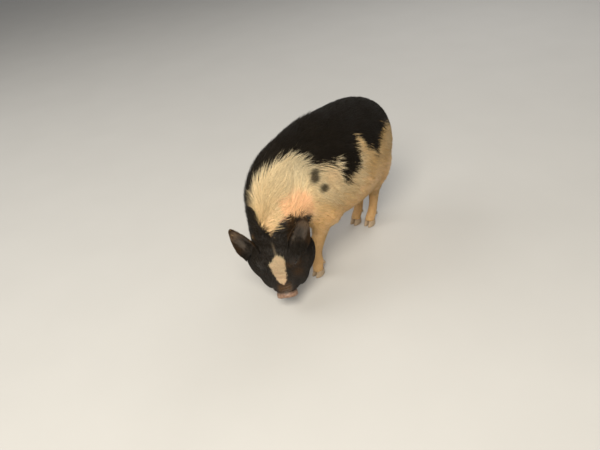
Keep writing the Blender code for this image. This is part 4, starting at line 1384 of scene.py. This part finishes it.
def mane_sizes(roots):
    low = smooth_step(np.abs(body_angle(roots)), 40, 100)
    back = smooth_step(roots[:, 1], -0.20, -0.03)
    poll = smooth_step(face_share(roots), -0.13, -0.03)  # short where the neck meets the head
    size = (1 - 0.72 * poll) * (1 - 0.66 * bare_ahead(roots))
    length = 0.092 * (1 - 0.30 * low) * (1 - 0.35 * back) * size
    lift = 0.0150 * (1 - 0.35 * low) * (0.25 + 0.75 * size)
    return (length, 0.65, 1.12), (lift, 0.25, 1.25), (0.0016 * (0.7 + 0.3 * size), 0.7, 1.2)


mane_density = on_body * mane_share * (1 - 0.60 * bare_patch(centres)) * 80000
grow("mane", "cream_mane", mane_density, 31, mane_sizes, 5, 0.75, 0.09, 0.07)

# %% Back, rump, flank and belly


def body_sizes(roots):
    low = smooth_step(np.abs(body_angle(roots)), 70, 115)
    lift = 0.0068 * (1 - 0.35 * low)
    return (0.040 * (1 - 0.42 * low), 0.6, 1.2), (lift, 0.3, 1.3), (0.0017 * (1 - 0.25 * low), 0.7, 1.2)


thin = np.clip(1.15 - 0.85 * smooth_step(angle, 70, 110) - 0.35 * (~dark), 0.28, 1.0)
body_share = on_body * (1 - 0.85 * mane_share) * thin * ~on_teat
grow("coat", "pied_coat", body_share * 78000, 41, body_sizes, 3, 0.6, 0.11)

# %% Legs


def leg_sizes(roots):
    size = 0.45 + 0.55 * smooth_step(roots[:, 2], 0.04, 0.20)
    return (0.019 * size, 0.6, 1.2), (0.0024 * size, 0.4, 1.3), (0.0011, 0.7, 1.2)


grow("leg_coat", "leg_coat", (on_leg & ~no_hair) * 70000, 51, leg_sizes, 2, 0.4, 0.10)

# %% Face


def face_sizes(roots):
    near_eye = smooth_step(from_spot(roots, EYE), 0.013, 0.032)
    small = (1 - 0.60 * smooth_step(face_share(roots), 0.06, 0.20)) * (0.30 + 0.70 * near_eye)
    return (0.017 * small, 0.6, 1.2), (0.0019 * small, 0.3, 1.3), (0.0010 * (0.6 + 0.4 * near_eye), 0.7, 1.2)


face_cover = np.where(on_face & ~no_hair, 1 - 0.5 * smooth_step(ahead, 0.17, 0.23), 0.0)
grow("face_coat", "black_coat", face_cover * 130000, 61, face_sizes, 2, 0.3, 0.08)

# %% Ears


def ear_sizes(roots):
    return (0.016, 0.6, 1.2), (0.0021, 0.3, 1.4), (0.0010, 0.7, 1.2)


grow("ear_coat", "ear_coat", on_ear * np.where(hollow, 16000, 150000), 71, ear_sizes, 2, 0.3, 0.10)

# %% Tail


def tail_sizes(roots):
    size = 0.35 + 0.65 * smooth_step(-roots[:, 2], -0.42, -0.34)
    return (0.052 * size, 0.6, 1.15), (0.0050 * size, 0.3, 1.2), (0.0014, 0.7, 1.2)


tuft_zone = smooth_step(-centres[:, 2], -0.40, -0.34)
grow("tail_coat", "black_coat", on_tail * (40000 + 110000 * tuft_zone), 81, tail_sizes, 3, 0.5, 0.10)

# %% [markdown]
# ## Eyes
#
# A sow's eye is small for her head and almost all dark brown iris, with a clear bulging cornea over it. The
# ball is turned toward where she looks and swells a little in front, and its colours are read from how far
# each point is from the line of sight.

# %% Eyeballs and lashes


def eyeball(sign):
    centre, look, corner, rise = eye_axes(sign)
    mesh = bmesh.new()
    bmesh.ops.create_uvsphere(mesh, u_segments=64, v_segments=48, radius=1)
    turned = Matrix((corner, rise, look)).transposed()
    for vert in mesh.verts:
        off = math.hypot(vert.co.x, vert.co.y)
        bulge = 1 + 0.035 * math.exp(-((off / 0.55) ** 4)) if vert.co.z > 0 else 1.0
        vert.co = HEAD @ (Vector(centre) + turned @ (vert.co * (EYE_RADIUS - 0.0002) * bulge))
    bmesh.ops.recalc_face_normals(mesh, faces=mesh.faces)
    obj = object_of("eyeball_left" if sign > 0 else "eyeball_right", mesh)
    away = to_head(points_of(obj)) - centre
    sight = (away @ look) / np.linalg.norm(away, axis=1)
    set_mark(obj, "gaze", np.degrees(np.arccos(np.clip(sight, -1, 1))) / 90)
    set_mark(obj, "spoke", np.arctan2(away @ rise, away @ corner))
    return obj


eyeballs = {1: eyeball(1), -1: eyeball(-1)}


def lashes(sign):
    """Short stiff hairs along the rim of the upper lid, bent outward."""
    centre, look, corner, rise = eye_axes(sign)
    rng = np.random.default_rng(90 + sign)
    mesh = bmesh.new()
    for t in np.linspace(-0.92, 0.92, 46):
        across = LID_HALF_WIDTH * t
        up = UPPER_RISE * (1 - t * t) + 0.0002
        depth = math.sqrt(max((EYE_RADIUS + 0.0009) ** 2 - across**2 - up**2, 0))
        start = centre + corner * across + rise * up + look * depth
        reach = (0.0068 - 0.0022 * abs(t)) * rng.uniform(0.7, 1.1)
        fan = corner * (t * 0.7 + rng.normal(0, 0.12))
        path = []
        for u in (0, 0.5, 1):
            bend = look * (u - 0.25 * u * u) + rise * (0.25 * u + 0.75 * u * u) + fan * u
            path.append(start + bend * reach)
        rings = []
        for point, thick in zip(path[:2], (0.00022, 0.00016)):
            turns = (0, 2.1, 4.2)
            ring_points = [point + (corner * math.cos(a) + look * math.sin(a)) * thick for a in turns]
            rings.append([mesh.verts.new(HEAD @ Vector(p)) for p in ring_points])
        tip = mesh.verts.new(HEAD @ Vector(path[2]))
        mesh.faces.new(rings[0])
        for k in range(3):
            n = (k + 1) % 3
            mesh.faces.new((rings[0][k], rings[0][n], rings[1][n], rings[1][k]))
            mesh.faces.new((rings[1][k], rings[1][n], tip))
    bmesh.ops.recalc_face_normals(mesh, faces=mesh.faces)
    return object_of("lashes_left" if sign > 0 else "lashes_right", mesh)


eyelashes = {1: lashes(1), -1: lashes(-1)}
print("eyes made")

# %% [markdown]
# ## Hooves
#
# Each foot stands on two horny claws with flat soles, and two small dewclaws hang clear behind. The outer
# wall of a claw is rounded and the inner one is almost straight. Each is built up from closed rings, with
# fine ledges where the horn has grown year by year.

# %% Claws and dewclaws
HOOF_HEIGHT = 0.026
HOOF_WIDTH = 0.0215
HOOF_LEVELS = (0, 0.004, 0.016, 0.026)  # heights at which its back and its toe are given


def claw(name, foot_x, foot_y, side):
    rings = []
    for height in np.linspace(0, HOOF_HEIGHT - 0.0004, 26):
        share = height / HOOF_HEIGHT
        back = -np.interp(height, HOOF_LEVELS, (0.0190, 0.0200, 0.0200, 0.0195))
        toe = np.interp(height, HOOF_LEVELS, (0.0280, 0.0275, 0.0205, 0.0170))
        width = HOOF_WIDTH + 0.0004 * math.sin(math.pi * min(share * 1.4, 1))
        ledge = 0.00022 * math.sin(share * 2 * math.pi * 6) * min(share * 4, 1)
        collar = 0.0006 * math.exp(-(((share - 1) / 0.10) ** 2))
        points = []
        for k in range(48):
            a = 2 * math.pi * k / 48
            lengthwise, crosswise = math.cos(a), math.sin(a)
            y = (toe + back) / 2 + ((toe - back) / 2 + ledge - 0.0002 + collar) * lengthwise
            narrow = 1 - 0.35 * max(lengthwise, 0) ** 3
            reach = width / 2 + ledge - 0.0003 + collar
            x = reach * math.copysign(abs(crosswise) ** 0.75, crosswise) * narrow
            x -= 0.0022 * max(lengthwise, 0) ** 2
            points.append(Vector((foot_x + side * (CLEFT / 2 + HOOF_WIDTH / 2 + x), foot_y - y, height)))
        rings.append(points)
    return object_of(name, bridged(rings))


def dewclaw(name, foot_x, foot_y, z, side):
    path = []
    radii = []
    for i in range(15):
        t = i / 14
        path.append((foot_x + side * (0.010 + 0.003 * t), foot_y + 0.012 + 0.015 * t, z + 0.006 - 0.023 * t))
        ledge = 0.00018 * math.sin(t * 2 * math.pi * 5)
        radii.append(np.interp(t, (0, 0.33, 0.67, 0.92, 1), (0.0078, 0.0074, 0.0063, 0.0036, 0.0014)) + ledge)
    return tube(name, path, radii, 20)


horn_pieces = []
for sign, flank in ((1, "left"), (-1, "right")):
    for end, x, y in (
        ("front", sign * FRONT_STANCE, FRONT_FEET_Y),
        ("hind", sign * HIND_STANCE, hind_foot_y(sign)),
    ):
        back = 0.006 if end == "front" else 0.014
        for place, step in (("outer", sign), ("inner", -sign)):
            where = f"{end}_{flank}_{place}"
            horn_pieces.append((claw("claw_" + where, x, y, step), "hoof_" + where))
            horn_pieces.append((dewclaw("spur_" + where, x, y + back, 0.058, step), "dewclaw_" + where))
print("horn pieces:", len(horn_pieces))

# %% [markdown]
# ## Finishes
#
# Colour, roughness and fine relief come from small networks of nodes. What more than one finish needs is a
# group of its own: one that turns the marks on the hair into its colour, and one that gives skin its pores
# and creases as a height for a bump.

# %% Node helpers


def new_group(name, takes, gives, kind):
    """A group that takes numbers and gives one result, with the sockets where they come in and go out."""
    group = bpy.data.node_groups.new(name, "ShaderNodeTree")
    for label, value in takes.items():
        socket = group.interface.new_socket(label, in_out="INPUT", socket_type="NodeSocketFloat")
        socket.default_value = value
    group.interface.new_socket(gives, in_out="OUTPUT", socket_type=kind)
    source = group.nodes.new("NodeGroupInput")
    sink = group.nodes.new("NodeGroupOutput")
    return group, source.outputs, sink.inputs[gives]


def node(tree, kind, links=(), **settings):
    """A node with its settings, and links given as (input, output socket or value)."""
    made = tree.nodes.new(kind)
    for key, value in settings.items():
        setattr(made, key, value)
    for key, value in dict(links).items():
        if isinstance(value, bpy.types.NodeSocket):
            tree.links.new(value, made.inputs[key])
        else:
            made.inputs[key].default_value = value
    return made


def mixed(tree, factor, one, two):
    """A colour mix. Node inputs 0, 6 and 7 are the factor and the two colours."""
    one, two = ((*colour, 1) if isinstance(colour, tuple) else colour for colour in (one, two))
    return node(tree, "ShaderNodeMix", {0: factor, 6: one, 7: two}, data_type="RGBA").outputs[2]


def maths(tree, operation, one, two):
    return node(tree, "ShaderNodeMath", {0: one, 1: two}, operation=operation).outputs[0]


def product(tree, one, two):
    return maths(tree, "MULTIPLY", one, two)


def ranged(tree, value, low=0.0, high=1.0, to_low=0.0, to_high=1.0):
    """The values from low to high, carried onto the other range."""
    ends = {"From Min": low, "From Max": high, "To Min": to_low, "To Max": to_high}
    return node(tree, "ShaderNodeMapRange", {"Value": value, **ends}).outputs[0]


def noise(tree, place, scale, detail):
    return node(tree, "ShaderNodeTexNoise", {"Vector": place, "Scale": scale, "Detail": detail}).outputs[0]


def own_place(tree):
    """Each point's place in the measures of its piece."""
    return node(tree, "ShaderNodeTexCoord").outputs["Object"]


def mark(tree, name):
    return node(tree, "ShaderNodeAttribute", attribute_name=name).outputs["Fac"]


# %% Hair colour group
CREAM = (0.85, 0.68, 0.41)
CREAM_TIP = (0.94, 0.81, 0.55)
# TAN and TAN_SKIN stand partly for the hair's and skin's own tan and partly for painted warm light bounced up
# from below.
TAN = (0.58, 0.36, 0.125)
PEACH = (0.94, 0.61, 0.34)
BLACK = (0.0072, 0.0058, 0.0046)
BLACK_TIP = (0.020, 0.0145, 0.0095)
RUST = (0.095, 0.043, 0.010)
HAIR_MARKS = ("dark", "warm", "rust", "pink", "tone", "tip")

hair_group, takes, gives = new_group(
    "hair_colour", dict.fromkeys(HAIR_MARKS, 0.0), "Color", "NodeSocketColor"
)
pale = mixed(hair_group, takes["warm"], CREAM, TAN)
pale_tip = mixed(hair_group, product(hair_group, takes["warm"], 0.8), CREAM_TIP, TAN)
pale = mixed(hair_group, takes["tip"], pale, pale_tip)
pale = mixed(hair_group, product(hair_group, takes["pink"], 0.75), pale, PEACH)
shade = ranged(hair_group, takes["tone"], to_low=0.80, to_high=1.10)
pale = node(hair_group, "ShaderNodeVectorMath", {0: pale, "Scale": shade}, operation="SCALE").outputs[0]
jet = mixed(hair_group, product(hair_group, takes["tone"], takes["tip"]), BLACK, BLACK_TIP)
jet = mixed(hair_group, takes["rust"], jet, RUST)
hair_group.links.new(mixed(hair_group, takes["dark"], pale, jet), gives)

# %% Skin relief group
RELIEF = {"Pore Size": 900.0, "Crease Size": 420.0, "Crease": 0.08}

relief_group, takes, gives = new_group("skin_relief", RELIEF, "Height", "NodeSocketFloat")
place = own_place(relief_group)
cells = {"Vector": place, "Scale": takes["Pore Size"]}
pores = node(relief_group, "ShaderNodeTexVoronoi", cells, feature="F1")
cells = {"Vector": place, "Scale": takes["Crease Size"]}
creases = node(relief_group, "ShaderNodeTexVoronoi", cells, feature="DISTANCE_TO_EDGE")
grooves = product(relief_group, ranged(relief_group, creases.outputs["Distance"], high=0.10), takes["Crease"])
lumps = noise(relief_group, place, 60.0, 6.0)
total = maths(relief_group, "ADD", product(relief_group, pores.outputs["Distance"], 0.25), grooves)
total = maths(relief_group, "ADD", total, product(relief_group, lumps, 0.8))
relief_group.links.new(total, gives)
print("groups:", [group.name for group in bpy.data.node_groups])

# %% [markdown]
# ### Skin
#
# Under black hair her skin is slate grey, under cream hair it is pink, and the snout's pad is bare: moist,
# pinkish brown and mottled. One material carries all of it, so nothing can part at a seam.

# %% Skin material
PINK_SKIN = (0.86, 0.50, 0.31)
PALE_SKIN = (0.74, 0.57, 0.37)
FLUSHED_SKIN = (0.70, 0.36, 0.22)
TAN_SKIN = (0.55, 0.325, 0.125)
SLATE_SKIN = (0.012, 0.0095, 0.0080)
SLATE_PALE = (0.021, 0.0165, 0.0135)
SLATE_BROWN = (0.058, 0.028, 0.010)
CUP_SKIN = (0.062, 0.048, 0.037)
CUP_BROWN = (0.140, 0.078, 0.034)
PAD_SKIN = (0.25, 0.155, 0.108)
PAD_BROWN = (0.115, 0.062, 0.040)
HOLLOW_SHADE = (0.020, 0.010, 0.009)


def new_material(name, roughness, specular=0.5):
    made = bpy.data.materials.new(name)
    made.use_nodes = True
    shader = made.node_tree.nodes["Principled BSDF"]
    shader.inputs["Roughness"].default_value = roughness
    shader.inputs["Specular IOR Level"].default_value = specular
    return made, made.node_tree, shader


def painted(tree, shader, colour):
    tree.links.new(colour, shader.inputs["Base Color"])


def bumped(tree, shader, height, distance, strength):
    bump = node(tree, "ShaderNodeBump", {"Height": height, "Distance": distance, "Strength": strength})
    tree.links.new(bump.outputs[0], shader.inputs["Normal"])


skin_finish, tree, shader = new_material("sow_skin", 0.55, 0.28)
place = own_place(tree)
patch = ranged(tree, noise(tree, place, 28.0, 5.0), 0.35, 0.68)
pink = mixed(tree, mark(tree, "pink"), PALE_SKIN, PINK_SKIN)
flushed = mixed(tree, product(tree, patch, 0.22), pink, FLUSHED_SKIN)
# The warm mark tans the skin: partly its own tan, partly painted warm light bounced up from below.
tan_and_bounce_lit = mixed(tree, product(tree, mark(tree, "warm"), 0.80), flushed, TAN_SKIN)
slate = mixed(tree, patch, SLATE_SKIN, SLATE_PALE)
slate = mixed(tree, product(tree, mark(tree, "rust"), 0.8), slate, SLATE_BROWN)
coloured = mixed(tree, mark(tree, "dark"), tan_and_bounce_lit, slate)
coloured = mixed(tree, mark(tree, "cup"), coloured, mixed(tree, mark(tree, "rust"), CUP_SKIN, CUP_BROWN))
mottle = ranged(tree, noise(tree, place, 150.0, 3.0), 0.44, 0.62)
pad = mixed(tree, product(tree, mottle, 0.7), PAD_SKIN, PAD_BROWN)
coloured = mixed(tree, mark(tree, "disc"), coloured, pad)
# The inner mark paints near-black shade into the nostrils and the gap round each eyeball.
painted(tree, shader, mixed(tree, mark(tree, "inner"), coloured, HOLLOW_SHADE))
wet = ranged(tree, mark(tree, "disc"), to_low=0.58, to_high=0.36)  # the pad is moist
tree.links.new(wet, shader.inputs["Roughness"])
shader.inputs["Subsurface Weight"].default_value = 0.08
shader.inputs["Subsurface Radius"].default_value = (0.006, 0.002, 0.001)
relief = node(tree, "ShaderNodeGroup", RELIEF, node_tree=relief_group)
bumped(tree, shader, relief.outputs[0], 0.0004, 0.8)

# %% Hair, eye and horn materials
IRIS = (0.050, 0.022, 0.009)
IRIS_DARK = (0.018, 0.008, 0.004)
PUPIL = (0.002, 0.002, 0.002)
EYE_WHITE = (0.30, 0.20, 0.15)
LASH = (0.010, 0.008, 0.007)
LASH_PALE = (0.030, 0.022, 0.018)
HORN = (0.44, 0.32, 0.20)
HORN_BROWN = (0.26, 0.175, 0.105)
HORN_PALE = (0.52, 0.41, 0.28)
# the colour that the horn takes over its bottom 6 mm, toward the ground
HORN_NEAR_GROUND = (0.20, 0.15, 0.10)


def hair_finish(name, roughness, specular):
    made, tree, shader = new_material(name, roughness, specular)
    marks = {label: mark(tree, label) for label in HAIR_MARKS}
    painted(tree, shader, node(tree, "ShaderNodeGroup", marks, node_tree=hair_group).outputs[0])
    gloss = ranged(tree, mark(tree, "tone"), to_low=roughness - 0.06, to_high=roughness + 0.10)
    tree.links.new(gloss, shader.inputs["Roughness"])
    shader.inputs["Specular Tint"].default_value = (1.0, 0.86, 0.68, 1)
    return made


finishes = {
    "cream_mane": hair_finish("mane_hair", 0.44, 0.20),
    "pied_coat": hair_finish("body_hair", 0.42, 0.20),
    "leg_coat": hair_finish("leg_hair", 0.52, 0.20),
    "black_coat": hair_finish("face_hair", 0.46, 0.19),
    "ear_coat": hair_finish("ear_hair", 0.50, 0.19),
}

eye_finish, tree, shader = new_material("wet_eye", 0.06, 0.3)
gaze = mark(tree, "gaze")
turn = {"X": product(tree, mark(tree, "spoke"), 6.0), "Y": product(tree, gaze, 2.0)}
spokes = noise(tree, node(tree, "ShaderNodeCombineXYZ", turn).outputs[0], 5.0, 4.0)
coloured = mixed(tree, ranged(tree, gaze, 0.23, 0.27), PUPIL, mixed(tree, spokes, IRIS, IRIS_DARK))
painted(tree, shader, mixed(tree, ranged(tree, gaze, 0.80, 0.90), coloured, EYE_WHITE))
shader.inputs["Coat Weight"].default_value = 0.25
shader.inputs["Coat Roughness"].default_value = 0.03

lash_finish, tree, shader = new_material("lash", 0.4)
grain = node(tree, "ShaderNodeTexNoise", {"Scale": 400.0}).outputs[0]
painted(tree, shader, mixed(tree, grain, LASH, LASH_PALE))

horn_finish, tree, shader = new_material("hoof_horn", 0.48, 0.45)
place = own_place(tree)
stretched = node(tree, "ShaderNodeMapping", {"Vector": place, "Scale": (160.0, 160.0, 900.0)}).outputs[0]
bands = noise(tree, stretched, 1.0, 3.0)
streaked = node(tree, "ShaderNodeMapping", {"Vector": place, "Scale": (420.0, 420.0, 30.0)}).outputs[0]
streaks = noise(tree, streaked, 1.0, 4.0)
horn = mixed(tree, bands, HORN, HORN_BROWN)
horn = mixed(tree, product(tree, streaks, 0.55), horn, HORN_PALE)
height = node(tree, "ShaderNodeSeparateXYZ", {"Vector": place}).outputs["Z"]
near_ground = ranged(tree, height, 0.006, 0.0, 0.0, 0.55)  # darker at the ground
painted(tree, shader, mixed(tree, near_ground, horn, HORN_NEAR_GROUND))
bumped(tree, shader, maths(tree, "ADD", bands, streaks), 0.00025, 0.8)
print("materials:", len(bpy.data.materials))

# %% [markdown]
# ## Put her together
#
# Every piece rides on the one body of the frame, and the skin stands for all the pieces of flesh that the
# solids have, so those are hidden while they still give her weight and her footing.

# %% Place the pieces
FLESH = ["head", "neck", "torso", "tail", "ear_left", "ear_right"]
FLESH += [f"leg_{end}_{flank}" for end in ("front", "hind") for flank in ("left", "right")]


def finished(obj, finish, slot, *nodes):
    obj.data.materials.clear()
    obj.data.materials.append(finish)
    return placed(obj, slot, *nodes)


finished(skin, skin_finish, "pied_coat", *FLESH)
for obj, slot in coat_pieces:
    finished(obj, finishes[slot], slot)
for sign, flank in ((1, "left"), (-1, "right")):
    finished(eyeballs[sign], eye_finish, "eye_gloss", "eye_" + flank)
    finished(eyelashes[sign], lash_finish, "black_coat")
for obj, node_name in horn_pieces:
    finished(obj, horn_finish, "horn", node_name)

triangles = {obj.name: len(obj.data.polygons) for obj, _ in coat_pieces}
print("coat triangles:", sum(triangles.values()), "in", len(triangles), "pieces")

# %% [markdown]
# ## Studio
#
# A plain pale floor and soft light from large lamps show the gloss on the black hair without hard shadows: a
# warm key from her left front, a weaker fill from her right front and a faint one from behind.

# %% Floor and light
FLOOR_REACH = 9.0  # to each side of her

stage_mesh = bmesh.new()
corners = [(-1, -1), (1, -1), (1, 1), (-1, 1)]
stage_mesh.faces.new([stage_mesh.verts.new((x * FLOOR_REACH, y * FLOOR_REACH, 0.0)) for x, y in corners])
floor = object_of("floor", stage_mesh)
floor_finish, tree, shader = new_material("pale_floor", 0.8, 0.2)
cloud = noise(tree, own_place(tree), 3.0, 3.0)
painted(tree, shader, mixed(tree, cloud, (0.47, 0.465, 0.455), (0.50, 0.495, 0.485)))
bumped(tree, shader, cloud, 0.002, 0.2)
floor.data.materials.append(floor_finish)


def lamp(name, place, size, power, colour):
    light = bpy.data.lights.new(name, "AREA")
    light.size = size
    light.energy = power
    light.color = colour
    obj = bpy.data.objects.new(name, light)
    obj.location = place
    obj.rotation_mode = "QUATERNION"
    obj.rotation_quaternion = (Vector(place) - Vector((0, 0, 0.3))).to_track_quat("Z", "Y")
    bpy.context.scene.collection.objects.link(obj)


lamp("key", (2.08, -3.04, 3.98), 2.4, 375, (1.0, 0.93, 0.80))
lamp("fill", (-3.2, -2.7, 3.66), 3.5, 107, (1.0, 0.97, 0.90))
lamp("rim", (-0.96, 4.16, 3.5), 2.5, 66, (1.0, 0.98, 0.95))
world = bpy.data.worlds.new("studio")
world.use_nodes = True
background = world.node_tree.nodes["Background"]
background.inputs["Color"].default_value = (0.95, 0.95, 0.95, 1)
background.inputs["Strength"].default_value = 0.26
bpy.context.scene.world = world
bpy.context.scene.view_settings.view_transform = "Standard"

# %% [markdown]
# ## Finish
#
# The scene is brought up to date at the end.

# %% Bring the scene up to date
bpy.context.view_layer.update()
